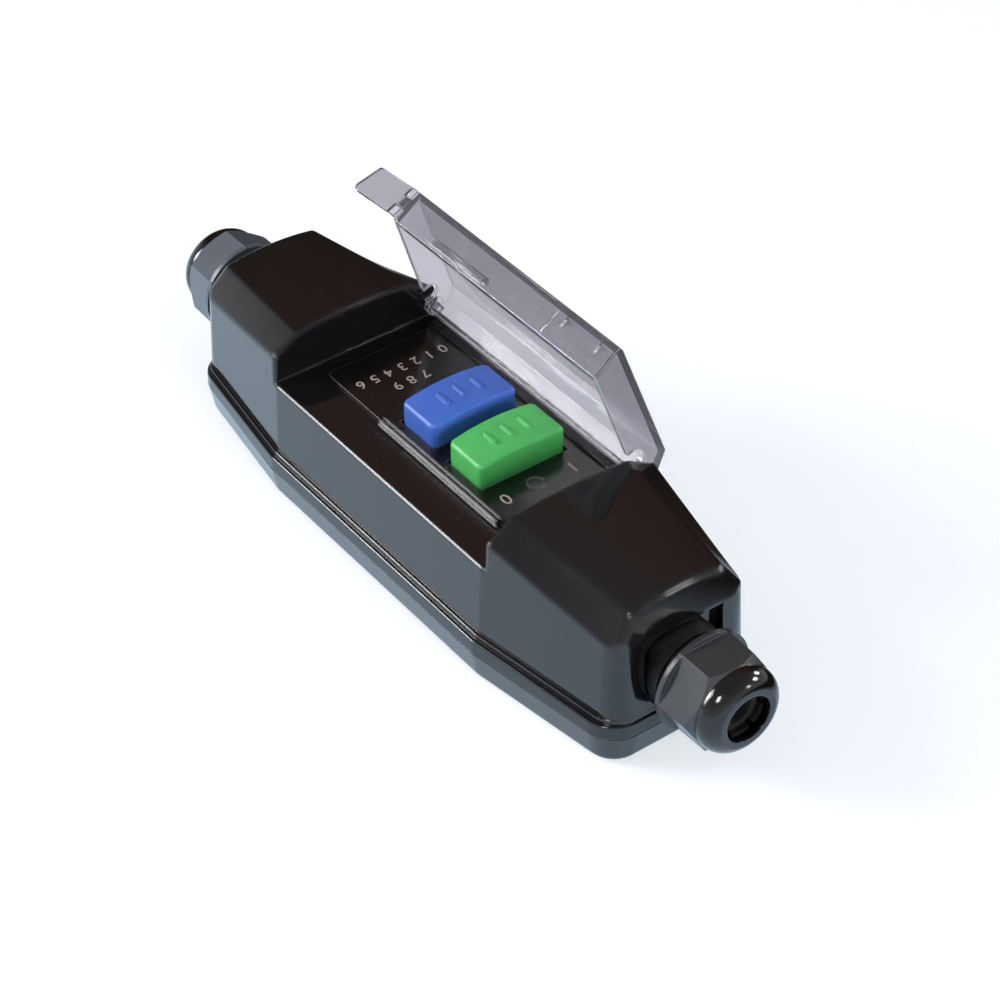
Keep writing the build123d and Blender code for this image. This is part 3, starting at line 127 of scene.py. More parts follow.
class FasciaSettings(bpy.types.PropertyGroup):
    """Colours and print of the fascia, and its painted edge highlight"""

    plate: colour("Plate", "Colour of the fascia plate", 13, 11, 11)
    ink: colour("Ink", "Colour of the printed numbers", 196, 184, 172)
    # Cut edge is a painted highlight: a pale colour for the plate's edges, standing in for the
    # light they catch.
    cut: colour("Cut edge", "Colour of the plate's cut edges", 150, 140, 132)
    digit: length("Digit", "Height of the small printed numbers", 4.6 * MM)
    mark: length("Mark", "Height of the numbers beside the window", 5.4 * MM)


class ButtonSettings(bpy.types.PropertyGroup):
    """Colours of the buttons"""

    test: colour("Test button", "Colour of the test button", 62, 101, 190)
    reset: colour("Reset button", "Colour of the reset button", 76, 180, 92)
    dome: colour("Return domes", "Colour of the rubber return domes", 170, 170, 168)


class CoverSettings(bpy.types.PropertyGroup):
    """Tint of the clear cover"""

    tint: colour("Tint", "Tint of the clear cover", 203, 200, 207)
    tab: colour("Tab", "Tint of the pull tab", 176, 173, 179)
    window: colour("Window", "Tint of the indicator window", 205, 205, 208)


class GlandSettings(bpy.types.PropertyGroup):
    """Colours and threads of the glands, with painted shade on the bodies, claws and sleeves and a
    painted reflection on the far nut
    """

    nut: colour("Near nut", "Colour of the near gland nut", 48, 50, 54)
    # Far nut: the same nylon as the near nut, given a lighter, bluish colour as a painted
    # reflection of the pale light it mirrors.
    far_nut: colour("Far nut", "Colour of the far gland nut", 84, 91, 100)
    polished: colour("Dome", "Colour of the polished domes of the nuts", 11, 10, 10)
    dome: length("Dome length", "Length of the polished dome of a nut", 5.4 * MM)
    # Body, Claw and Sleeve are darker than the nuts' nylon: painted shade for the shaded pocket and
    # nut bore where they sit.
    body: colour("Body", "Colour of the gland bodies", 10, 10, 11)
    claw: colour("Claw", "Colour of the clamping claws", 13, 13, 13)
    seal: colour("Sleeve", "Colour of the rubber sleeves", 10, 10, 10)
    shank: length("Shank", "Length of the gland bodies outside their collars", 13.4 * MM)
    root: length("Root", "Radius of the thread's root", 10.0 * MM)
    ridge: length("Ridge", "Height of the thread", 0.3 * MM)
    pitch: length("Pitch", "Pitch of the thread", 1.5 * MM)


class InsideSettings(bpy.types.PropertyGroup):
    """Colours and wire sizes of the pieces inside"""

    board: colour("Board", "Colour of the circuit board", 22, 92, 52)
    copper: colour("Copper", "Colour of the wound wire", 184, 100, 52)
    brass: colour("Brass", "Colour of the brass pieces", 214, 178, 104)
    steel: colour("Steel", "Colour of the steel pieces", 188, 188, 190)
    white: colour("White mouldings", "Colour of the white mouldings", 226, 224, 214)
    black: colour("Black mouldings", "Colour of the black mouldings", 38, 38, 39)
    brown: colour("Live", "Colour of the live sleeves", 116, 68, 40)
    blue: colour("Neutral", "Colour of the neutral sleeves", 42, 96, 176)
    green: colour("Earth", "Colour of the earth sleeve", 62, 150, 62)
    yellow: colour("Earth stripe", "Colour of the earth sleeve's stripe", 226, 206, 40)
    capacitor: colour("Capacitor", "Colour of the film capacitor", 222, 178, 60)
    varistor: colour("Varistor", "Colour of the varistor", 32, 88, 160)
    flag: colour("Flag", "Colour of the flag's field for closed contacts", 176, 30, 28)
    flag_dark: colour("Flag, dark", "Colour of the flag's field for open contacts", 24, 24, 24)
    tape: colour("Core tape", "Colour of the tape round the transformer's ring", 150, 104, 62)
    bobbin: colour("Bobbin", "Colour of the coil's bobbin", 206, 198, 180)
    solder: colour("Solder", "Colour of the solder", 178, 178, 182)
    gold: colour("Bare copper", "Colour of the board's bare edge", 196, 180, 120)
    coil_wire: length("Coil wire", "Diameter of the coil's wire", 0.32 * MM)
    core_wire: length("Core wire", "Diameter of the transformer's wire", 0.3 * MM)
    core_turns: IntProperty(
        name="Core turns", description="Turns shown on the transformer", min=8, default=44
    )


class StageSettings(bpy.types.PropertyGroup):
    """Floor, lamps and camera"""

    floor: colour("Floor", "Colour of the floor", 204, 207, 211)
    floor_radius: length("Floor radius", "Radius of the floor", 1.4)
    backdrop: colour("Backdrop", "Light that the floor shows as a pale backdrop", 186, 188, 191)
    mirrored: colour("Mirrored", "Light that the floor shows in the gloss", 172, 206, 232)
    window_power: FloatProperty(
        name="Window lamp", description="Power of the large lamp", unit="POWER", min=0, default=10
    )
    glint_power: FloatProperty(
        name="Glints", description="Power of the front lamp that only gloss shows", unit="POWER",
        min=0, default=5,
    )
    end_power: FloatProperty(
        name="End lamp", description="Power of the lamp at the near end", unit="POWER", min=0,
        default=9,
    )
    lens: FloatProperty(
        name="Lens", description="Focal length of the camera in millimetres", min=10, default=108
    )


class Finish:
    """A material built node by node on the device's own coordinates."""

    def __init__(self, name):
        self.material = bpy.data.materials.new(name)
        self.material.use_nodes = True
        self.tree = self.material.node_tree
        self.tree.nodes.clear()
        self.surface = self.node("ShaderNodeBsdfPrincipled")
        self.output = self.node("ShaderNodeOutputMaterial")
        self.show(self.surface)
        self.place = self.node("ShaderNodeTexCoord").outputs["Object"]

    def node(self, kind, inputs=(), **settings):
        """Add a node, set its options and feed its inputs, given as (socket, value) pairs."""
        made = self.tree.nodes.new(kind)
        for option, value in settings.items():
            setattr(made, option, value)
        for socket, value in inputs:
            self.feed(made.inputs[socket], value)
        return made

    def feed(self, socket, value):
        """Link a socket to another one, or set its own value."""
        if isinstance(value, bpy.types.NodeSocket):
            self.tree.links.new(value, socket)
        else:
            socket.default_value = value

    def show(self, shader):
        """Make a shader the one that the material shows."""
        self.feed(self.output.inputs["Surface"], shader.outputs[0])

    def set(self, **values):
        """Feed the surface's own sockets, their names written with underscores."""
        for name, value in values.items():
            socket = self.surface.inputs[name.replace("_", " ")]
            if isinstance(value, tuple) and len(value) == 3:
                value = (*value, 1)
            self.feed(socket, value)

    def fed(self, name):
        """The socket that feeds one of the surface's own."""
        return self.surface.inputs[name].links[0].from_socket

    def grain(self, size, detail=2.0, stretch=(1, 1, 1), seed=0.0):
        """Soft noise from 0 to 1 whose patches have about the given size."""
        mapping = self.node(
            "ShaderNodeMapping",
            [("Vector", self.place), ("Scale", stretch), ("Location", (seed, seed / 2, -seed))],
        )
        noise = self.node(
            "ShaderNodeTexNoise",
            [("Vector", mapping.outputs[0]), ("Scale", 1 / size), ("Detail", detail)],
        )
        return noise.outputs[0]

    def scale(self, value, low, high, start, end):
        """Carry a value from one range to another, held at its ends."""
        ranged = self.node(
            "ShaderNodeMapRange",
            [(0, value), (1, low), (2, high), (3, start), (4, end)],
        )
        return ranged.outputs[0]

    def sum(self, first, second, operation="ADD"):
        """Add two values, or join them by another operation."""
        joined = self.node("ShaderNodeMath", [(0, first), (1, second)], operation=operation)
        return joined.outputs[0]

    def blend(self, factor, first, second):
        """Mix two colours."""
        colours = [(*c, 1) if isinstance(c, tuple) else c for c in (first, second)]
        mixed = self.node(
            "ShaderNodeMix", [(0, factor), (6, colours[0]), (7, colours[1])], data_type="RGBA"
        )
        return mixed.outputs[2]

    def axis(self, name):
        """One of the device's coordinates."""
        split = self.node("ShaderNodeSeparateXYZ", [(0, self.place)])
        return split.outputs[name]

    def round_normal(self, width):
        """Normals that turn softly round every edge."""
        return self.node("ShaderNodeBevel", [("Radius", width)], samples=4).outputs[0]

    def edges(self, normal, low=0.9, high=0.995):
        """1 on worn edges and 0 on flat places."""
        true = self.node("ShaderNodeNewGeometry").outputs["Normal"]
        dot = self.node("ShaderNodeVectorMath", [(0, normal), (1, true)], operation="DOT_PRODUCT")
        return self.scale(dot.outputs["Value"], low, high, 1, 0)

    def relief(self, height, depth, normal=None, strength=1.0):
        """Normals that rise and fall with a height from 0 to 1."""
        bump = self.node(
            "ShaderNodeBump", [("Strength", strength), ("Distance", depth), ("Height", height)]
        )
        if normal is not None:
            self.feed(bump.inputs["Normal"], normal)
        return bump.outputs[0]


def lighter(shade, factor):
    """A colour made lighter or darker by a factor."""
    return tuple(min(1.0, part * factor) for part in shade)


def moulded(name, shade, gloss, edge, texture, depth, wear=2.2, smudge=0.5, dust=None, soft=None):
    """Moulded plastic: cloudy colour, smudges in the gloss, skin texture, rubbed edges and dust.

    soft gives a second edge width, and the height above which the edges have it.
    """
    finish = Finish(name)
    width = edge
    if soft:
        soft_edge, soft_above = soft
        below = soft_above - 3 * MM
        width = finish.scale(finish.axis("Z"), below, soft_above, edge, soft_edge)
    normal = finish.round_normal(width)
    clouds = finish.grain(14 * MM, 3)
    base = finish.blend(clouds, lighter(shade, 0.85), lighter(shade, 1.2))
    scuffs = finish.grain(1.1 * MM, 4, seed=3)
    rub = finish.sum(finish.edges(normal), finish.scale(scuffs, 0.4, 0.62, 0, 1), "MULTIPLY")
    base = finish.blend(finish.sum(rub, 0.5, "MULTIPLY"), base, lighter(shade, wear))
    touched = finish.scale(finish.grain(9 * MM, 5, seed=7), 0.42, 0.7, 0, 1)
    fine = finish.scale(finish.grain(0.5 * MM, 2, seed=1), 0.3, 0.7, 0.9, 1.1)
    rough = finish.sum(gloss, finish.sum(touched, gloss * smudge, "MULTIPLY"))
    rough = finish.sum(rough, fine, "MULTIPLY")
    rough = finish.sum(rough, finish.sum(rub, 0.04, "MULTIPLY"))
    if dust:
        specks = finish.scale(finish.grain(0.42 * MM, 1, seed=11), 0.775, 0.8, 0, 1)
        patches = finish.scale(finish.grain(12 * MM, 2, seed=5), 0.5, 0.62, 0, 1)
        specks = finish.sum(specks, patches, "MULTIPLY")
        base = finish.blend(specks, base, dust)
        rough = finish.sum(rough, finish.sum(specks, 0.4, "MULTIPLY"))
    skin = finish.relief(finish.grain(texture, 3, seed=2), depth, normal)
    finish.set(Base_Color=base, Roughness=rough, Normal=skin)
    return finish


def polished_shell(settings, name, shade, gloss):
    """High-gloss black moulding of the housing."""
    soft = (settings.soft_edge, settings.soft_above)
    finish = moulded(
        name, tuple(shade), gloss, settings.edge, texture=9 * MM, depth=0.004 * MM,
        wear=2.6, smudge=0.9, dust=tuple(settings.dust), soft=soft,
    )
    finish.set(IOR=1.52)
    return finish.material


def clear_moulding(name, tint, haze):
    """Clear plastic with a faint haze, flow lines, fine scratches and painted highlights on its
    edges.
    """
    finish = Finish(name)
    normal = finish.round_normal(0.4 * MM)
    clouds = finish.grain(16 * MM, 2)
    base = finish.blend(clouds, lighter(tint, 0.94), lighter(tint, 1.04))
    # Painted highlight: the rounded edges are blended towards near white and let less light
    # through.
    rubbed = finish.edges(normal, 0.75, 0.98)
    painted_highlight_white = linear(236, 234, 238)
    base = finish.blend(rubbed, base, painted_highlight_white)
    scratches = finish.grain(0.35 * MM, 1, (0.06, 1, 1), 4)
    hair = finish.scale(scratches, 0.66, 0.72, 0, 0.14)
    smears = finish.scale(finish.grain(8 * MM, 4, seed=2), 0.4, 0.75, haze, haze + 0.07)
    flow = finish.relief(finish.grain(14 * MM, 1, seed=9), 0.02 * MM, normal)
    finish.set(
        Base_Color=base,
        Roughness=finish.sum(smears, hair),
        Normal=flow,
        Transmission_Weight=finish.scale(rubbed, 0, 1, 0.93, 0.3),
        IOR=1.5,
    )
    return finish.material


def metal(name, shade, gloss, stretch=(1, 1, 1), tarnish=0.72):
    """Bare metal with drawn lines, tarnish and brighter edges."""
    finish = Finish(name)
    normal = finish.round_normal(0.12 * MM)
    stains = finish.scale(finish.grain(2.5 * MM, 4), 0.35, 0.75, 0, 1)
    base = finish.blend(stains, shade, lighter(shade, tarnish))
    base = finish.blend(finish.edges(normal), base, lighter(shade, 1.25))
    lines = finish.grain(0.12 * MM, 2, stretch, 6)
    rough = finish.scale(lines, 0.25, 0.75, gloss * 0.8, gloss * 1.3)
    rough = finish.sum(rough, finish.sum(stains, 0.12, "MULTIPLY"))
    drawn = finish.relief(lines, 0.006 * MM, normal)
    finish.set(Base_Color=base, Metallic=1.0, Roughness=rough, Normal=drawn)
    return finish.material


def rubber(name, shade):
    """Dull rubber with a bloom in the hollows of its grain."""
    finish = Finish(name)
    normal = finish.round_normal(0.15 * MM)
    bloom = finish.scale(finish.grain(1.8 * MM, 5), 0.4, 0.7, 0, 1)
    base = finish.blend(bloom, shade, lighter(shade, 1.7))
    pores = finish.grain(0.16 * MM, 3, seed=3)
    rough = finish.scale(pores, 0.3, 0.7, 0.62, 0.85)
    finish.set(
        Base_Color=base,
        Roughness=rough,
        Normal=finish.relief(pores, 0.02 * MM, normal),
        Sheen_Weight=0.12,
    )
    return finish.material


def sleeve(name, choose, first, second):
    """Conductor sleeve whose colour is chosen along one of the device's axes."""
    finish = Finish(name)
    pick = choose(finish)
    clouds = finish.scale(finish.grain(3 * MM, 3), 0.3, 0.7, 0.88, 1.08)
    base = finish.blend(pick, first, second)
    base = finish.node(
        "ShaderNodeMix",
        [(0, 1.0), (6, base), (7, clouds)],
        data_type="RGBA",
        blend_type="MULTIPLY",
    ).outputs[2]
    drag = finish.grain(0.3 * MM, 2, (0.08, 1, 1), 2)
    finish.set(
        Base_Color=base,
        Roughness=finish.scale(drag, 0.3, 0.7, 0.34, 0.5),
        Normal=finish.relief(drag, 0.015 * MM),
    )
    return finish.material


def printed_board(name, shade, copper):
    """Board with tracks under green lacquer, a weave and a bare edge."""
    finish = Finish(name)
    bricks = finish.node(
        "ShaderNodeTexBrick",
        [
            ("Vector", finish.place),
            ("Scale", 1 / (5 * MM)),
            ("Mortar Size", 0.07),
            ("Mortar Smooth", 0.05),
            ("Brick Width", 1.3),
            ("Row Height", 0.45),
        ],
    )
    tracks = bricks.outputs["Fac"]
    shaded = finish.blend(finish.grain(9 * MM, 2), lighter(shade, 0.9), lighter(shade, 1.1))
    lacquer = finish.blend(tracks, shaded, lighter(shade, 1.75))
    weave = finish.grain(0.25 * MM, 2, seed=1)
    normal = finish.relief(tracks, 0.035 * MM)
    normal = finish.relief(weave, 0.006 * MM, normal)
    bare = finish.edges(finish.round_normal(0.25 * MM))
    finish.set(
        Base_Color=finish.blend(finish.sum(bare, 0.6, "MULTIPLY"), lacquer, copper),
        Roughness=finish.scale(weave, 0.3, 0.7, 0.24, 0.4),
        Normal=normal,
    )
    return finish.material


def wound_wire(name, copper):
    """Lacquered copper wire."""
    finish = Finish(name)
    tone = finish.grain(1.2 * MM, 3)
    finish.set(
        Base_Color=finish.blend(tone, lighter(copper, 0.75), lighter(copper, 1.15)),
        Metallic=0.85,
        Roughness=finish.scale(finish.grain(0.4 * MM, 2, seed=4), 0.3, 0.7, 0.2, 0.36),
        Normal=finish.relief(tone, 0.01 * MM),
        Coat_Weight=0.5,
        Coat_Roughness=0.12,
    )
    return finish.material


def dress(material, *nodes):
    """Give a finish to pieces of the device."""
    for name in nodes:
        mesh = frame["nodes"][name].data
        mesh.materials.clear()
        mesh.materials.append(material)


def added(name, data, body, material):
    """Put a new piece on the body that carries it."""
    piece = bpy.data.objects.new(name, data)
    bpy.context.scene.collection.objects.link(piece)
    data.materials.append(material)
    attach(piece, body)


def mesh_data(name, mesh):
    """Named mesh data of a bmesh, which is freed."""
    data = bpy.data.meshes.new(name)
    mesh.to_mesh(data)
    mesh.free()
    return data


def wire_curve(name, paths, thickness, closed=False):
    """Round wires along lists of points."""
    curve = bpy.data.curves.new(name, "CURVE")
    curve.dimensions = "3D"
    curve.bevel_depth = thickness / 2
    curve.bevel_resolution = 1
    curve.use_fill_caps = not closed
    for path in paths:
        spline = curve.splines.new("POLY")
        spline.points.add(len(path) - 1)
        for point, place in zip(spline.points, path):
            point.co = (*place, 1)
        spline.use_cyclic_u = closed
    return curve


def thread_mesh(name, start, end, settings, side, height):
    """Screw thread about a gland's axis: one ridge that winds along the shank."""
    steps = 40
    turns = (end - start - settings.pitch) / settings.pitch
    count = int(turns * steps)
    bury = 0.15 * MM
    foot = settings.pitch * 0.36
    crest = settings.pitch * 0.1
    mesh = bmesh.new()
    rows = []
    for index in range(count + 1):
        angle = 2 * math.pi * index / steps
        along = start + settings.pitch / 2 + settings.pitch * index / steps
        rise = min(1, index / steps, (count - index) / steps)
        top = settings.root + settings.ridge * rise
        profile = (
            (-foot, settings.root - bury),
            (-crest, top),
            (crest, top),
            (foot, settings.root - bury),
        )
        rows.append(
            [
                mesh.verts.new(
                    (
                        side * (along + shift),
                        radius * math.cos(angle),
                        height + side * radius * math.sin(angle),
                    )
                )
                for shift, radius in profile
            ]
        )
    for first, second in zip(rows, rows[1:]):
        for here in range(4):
            there = (here + 1) % 4
            mesh.faces.new((first[here], first[there], second[there], second[here]))
    mesh.faces.new(rows[0])
    mesh.faces.new(rows[-1])
    bmesh.ops.recalc_face_normals(mesh, faces=mesh.faces)
    return mesh_data(name, mesh)


def printed(name, words, place, height, material):
    """Printed number on the fascia, read from the cover's far end."""
    text = bpy.data.curves.new(name, "FONT")
    text.body = words
    text.size = height
    text.extrude = 0.01 * MM
    text.align_x = "CENTER"
    text.align_y = "CENTER"
    text.space_character = 1.15
    piece = bpy.data.objects.new(name, text)
    piece.location = place
    piece.rotation_euler = (0, 0, -math.pi / 2)
    bpy.context.scene.collection.objects.link(piece)
    text.materials.append(material)
    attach(piece, "housing")


class DEVICE_OT_housing(bpy.types.Operator):
    """Finish the two halves of the housing, their sealing cord, screws and hinge pins"""

    bl_idname = "device.housing"
    bl_label = "Housing"

    def execute(self, context):
        settings = context.scene.device_housing
        inside = context.scene.device_inside
        shell = polished_shell(settings, "polished_shell", settings.shell, settings.gloss)
        tray = polished_shell(settings, "polished_tray", settings.tray, settings.gloss * 1.5)
        dress(shell, "upper_housing")
        dress(tray, "lower_housing")
        dress(rubber("sealing_cord", tuple(settings.cord)), "housing_gasket")
        zinc = metal("zinc_screw", tuple(inside.steel), gloss=0.3)
        dress(zinc, "housing_screws", "clamp_screws", "terminal_screws")
        dress(metal("bright_pin", lighter(inside.steel, 1.1), gloss=0.2), "hinge_pins")
        return {"FINISHED"}


class DEVICE_OT_fascia(bpy.types.Operator):
    """Finish the fascia plate, paint a highlight on its edges and print its plain numbers"""

    bl_idname = "device.fascia"
    bl_label = "Fascia"

    def execute(self, context):
        settings = context.scene.device_fascia
        plate = moulded(
            "fascia_film", tuple(settings.plate), gloss=0.16, edge=0.2 * MM, texture=0.5 * MM,
            depth=0.003 * MM, wear=3, smudge=0.5,
        )
        # Painted highlight: the plate's rounded edges are blended towards the pale Cut edge colour.
        rim = plate.edges(plate.round_normal(0.3 * MM), 0.8, 0.97)
        printed_film = plate.fed("Base Color")
        plate.set(Base_Color=plate.blend(rim, printed_film, tuple(settings.cut)))
        dress(plate.material, "fascia_plate")
        ink = Finish("printed_ink")
        worn = ink.scale(ink.grain(0.35 * MM, 3), 0.35, 0.7, 0, 1)
        ink.set(
            Base_Color=ink.blend(worn, tuple(settings.ink), lighter(settings.ink, 0.6)),
            Roughness=ink.scale(worn, 0, 1, 0.42, 0.6),
            Normal=ink.relief(worn, 0.004 * MM),
        )
        # The rows are placed from the test button, and the marks from the window.
        far_row, mid_row, mid_aside = 17.3 * MM, 11.4 * MM, 1.2 * MM
        one_aside, zero_aside, mark_ahead = 10.9 * MM, -9.6 * MM, 0.5 * MM
        lift = 0.011 * MM
        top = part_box("fascia_plate")[1].z + lift
        window = sum(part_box("indicator_window"), Vector()) / 2
        test_low, test_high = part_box("test_button")
        middle = (test_low.y + test_high.y) / 2
        rows = [
            ("number_row_far", "0 1 2 3 4 5 6", test_low.x - far_row, middle),
            ("number_row_mid", "7 8 9", test_low.x - mid_row, middle - mid_aside),
        ]
        for name, words, place_x, place_y in rows:
            printed(name, words, (place_x, place_y, top), settings.digit, ink.material)
        marks = [("window_mark_one", "1", one_aside), ("window_mark_zero", "0", zero_aside)]
        for name, words, offset in marks:
            place = (window.x + mark_ahead, window.y + offset, top)
            printed(name, words, place, settings.mark, ink.material)
        return {"FINISHED"}


class DEVICE_OT_buttons(bpy.types.Operator):
    """Finish the two push buttons and their rubber return domes"""

    bl_idname = "device.buttons"
    bl_label = "Buttons"

    def execute(self, context):
        settings = context.scene.device_buttons
        for name, shade in (("test_button", settings.test), ("reset_button", settings.reset)):
            finish = moulded(
                name + "_moulding", tuple(shade), gloss=0.4, edge=0.6 * MM, texture=0.14 * MM,
                depth=0.004 * MM, wear=1.5, smudge=0.2,
            )
            finish.set(Subsurface_Weight=0.06, Subsurface_Scale=0.8 * MM)
            dress(finish.material, name)
        dome = rubber("return_rubber", tuple(settings.dome))
        dress(dome, "test_return_dome", "reset_return_dome")
        return {"FINISHED"}


class DEVICE_OT_cover(bpy.types.Operator):
    """Finish the clear cover, its pull tab and the indicator window"""

    bl_idname = "device.cover"
    bl_label = "Clear cover"

    def execute(self, context):
        settings = context.scene.device_cover
        for name, tint, haze, node in (
            ("clear_cover_moulding", settings.tint, 0.03, "clear_lid"),
            ("pull_tab_moulding", settings.tab, 0.03, "lid_pull_tab"),
            ("window_moulding", settings.window, 0.02, "indicator_window"),
        ):
            dress(clear_moulding(name, tuple(tint), haze), node)
        ribs = clear_moulding("cover_rib_moulding", lighter(settings.tint, 0.8), 0.06)
        latch = self.rib_mesh(
            "cover_latch_bar", start=-25.4 * MM, long=22.3 * MM, across=2.0 * MM, low=0.8 * MM,
            high=0.45 * MM,
        )
        stiffener = self.rib_mesh(
            "cover_stiffener", start=19.0 * MM, long=0.9 * MM, across=6.4 * MM, low=0.6 * MM,
            high=0.35 * MM,
        )
        for data in (latch, stiffener):
            added(data.name, data, "lid", ribs)
        return {"FINISHED"}

    def rib_mesh(self, name, start, long, across, low, high):
        """Low rounded bar on the outside of the cover's free wall.

        low is its distance from the wall's lower edge, and high is how far it stands proud.
        """
        edge = Vector((0, 10.4 * MM, 73.35 * MM))
        upward = Vector((0, 0.796, 0.605))
        outward = Vector((0, -0.605, 0.796))
        sunk = 0.05 * MM
        mesh = bmesh.new()
        made = bmesh.ops.create_cube(mesh, size=1)
        for vertex in made["verts"]:
            along, over, out = vertex.co + Vector((0.5, 0.5, 0.5))
            vertex.co = (
                edge
                + Vector((start + along * long, 0, 0))
                + upward * (low + over * across)
                + outward * (out * high - sunk)
            )
        bmesh.ops.bevel(
            mesh, geom=mesh.edges[:], offset=high * 0.4, segments=3, affect="EDGES", profile=0.5
        )
        for face in mesh.faces:
            face.smooth = True
        return mesh_data(name, mesh)


class DEVICE_OT_glands(bpy.types.Operator):
    """Finish the cable glands, painting shade on their bodies, claws and sleeves, and cut the
    thread of their bodies
    """

    bl_idname = "device.glands"
    bl_label = "Cable glands"

    def execute(self, context):
        settings = context.scene.device_glands
        # The far nut's lighter, bluish colour is a painted reflection.
        for place, shade in (("near", settings.nut), ("far", settings.far_nut)):
            dress(self.nut_nylon(settings, place, tuple(shade)), place + "_gland_nut")
        # Painted shade: the bodies, locknuts, threads, claws and sleeves get near-black colours for
        # the shade they sit in.
        body = moulded(
            "body_nylon_painted_shade", tuple(settings.body), gloss=0.4, edge=0.2 * MM, texture=0.2 * MM,
            depth=0.004 * MM,
        )
        dress(body.material, "near_gland_body", "far_gland_body", "gland_locknuts")
        claw = moulded(
            "claw_nylon", tuple(settings.claw), gloss=0.45, edge=0.2 * MM, texture=0.2 * MM,
            depth=0.008 * MM,
        )
        dress(claw.material, "near_clamping_claw", "far_clamping_claw")
        dress(rubber("sleeve_rubber_painted_shade", tuple(settings.seal)), "near_gland_seal", "far_gland_seal")
        after_collar, before_tip = 0.1 * MM, 0.3 * MM
        for place, side in (("near", 1), ("far", -1)):
            low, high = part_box(place + "_gland_body")
            middle = (low.z + high.z) / 2
            tip = max(abs(low.x), abs(high.x))
            start = tip - settings.shank + after_collar
            end = tip - before_tip
            data = thread_mesh(place + "_gland_thread", start, end, settings, side, middle)
            added(place + "_gland_thread", data, "housing", body.material)
        return {"FINISHED"}

    def nut_nylon(self, settings, place, shade):
        """Nylon of a gland nut: dull on its flats and polished on its dome."""
        nylon = moulded(
            place + "_nut_nylon", shade, gloss=0.3, edge=0.5 * MM, texture=0.2 * MM,
            depth=0.0015 * MM, wear=1.8, smudge=0.3,
        )
        low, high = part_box(place + "_gland_nut")
        side, tip = (1, high.x) if place == "near" else (-1, -low.x)
        line = 0.3 * MM
        inward = nylon.sum(tip, nylon.sum(nylon.axis("X"), side, "MULTIPLY"), "SUBTRACT")
        dome = nylon.scale(inward, settings.dome, settings.dome + line, 1, 0)
        cloudy = nylon.fed("Base Color")
        rough = nylon.fed("Roughness")
        dull = nylon.scale(dome, 0, 1, 1, 0.3)
        nylon.set(
            Base_Color=nylon.blend(dome, cloudy, tuple(settings.polished)),
            Roughness=nylon.sum(rough, dull, "MULTIPLY"),
        )
        return nylon.material


class DEVICE_OT_board(bpy.types.Operator):
    """Finish the circuit board and the pieces that stand on it"""

    bl_idname = "device.board"
    bl_label = "Circuit board"

    def execute(self, context):
        settings = context.scene.device_inside
        board = printed_board("green_board", tuple(settings.board), tuple(settings.gold))
        dress(board, "circuit_board")
        black = moulded(
            "black_case", tuple(settings.black), gloss=0.5, edge=0.12 * MM, texture=0.1 * MM,
            depth=0.006 * MM,
        )
        dress(black.material, "control_chip", "test_switch", "cable_clamp_bars")
        box = moulded(
            "capacitor_case", tuple(settings.capacitor), gloss=0.35, edge=0.2 * MM,
            texture=0.2 * MM, depth=0.004 * MM,
        )
        dress(box.material, "film_capacitor")
        disc = moulded(
            "varistor_lacquer", tuple(settings.varistor), gloss=0.25, edge=0.3 * MM,
            texture=0.8 * MM, depth=0.03 * MM,
        )
        dress(disc.material, "varistor")
        tin = metal("solder", tuple(settings.solder), gloss=0.28)
        low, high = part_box("control_chip")
        data = solder_mesh("chip_solder", low, high, count=6, pitch=1.4 * MM, radius=0.42 * MM)
        added("chip_solder", data, "housing", tin)
        return {"FINISHED"}


def solder_mesh(name, low, high, count, pitch, radius):
    """Small domes of solder at the feet of a chip's leads, on both sides."""
    narrow, flatter = 0.8, 0.75
    lift, merged = 0.005 * MM, 0.001 * MM
    inset = radius * 0.2
    mesh = bmesh.new()
    middle_x = (low.x + high.x) / 2
    for row_y in (low.y + inset, high.y - inset):
        for index in range(count):
            place = Vector((middle_x + pitch * (index - (count - 1) / 2), row_y, low.z))
            made = bmesh.ops.create_uvsphere(mesh, u_segments=12, v_segments=8, radius=radius)
            for vertex in made["verts"]:
                x, y, z = vertex.co
                vertex.co = place + Vector((x, y * narrow, max(0.0, z) * flatter + lift))
    bmesh.ops.remove_doubles(mesh, verts=mesh.verts, dist=merged)
    for face in mesh.faces:
        face.smooth = True
    return mesh_data(name, mesh)


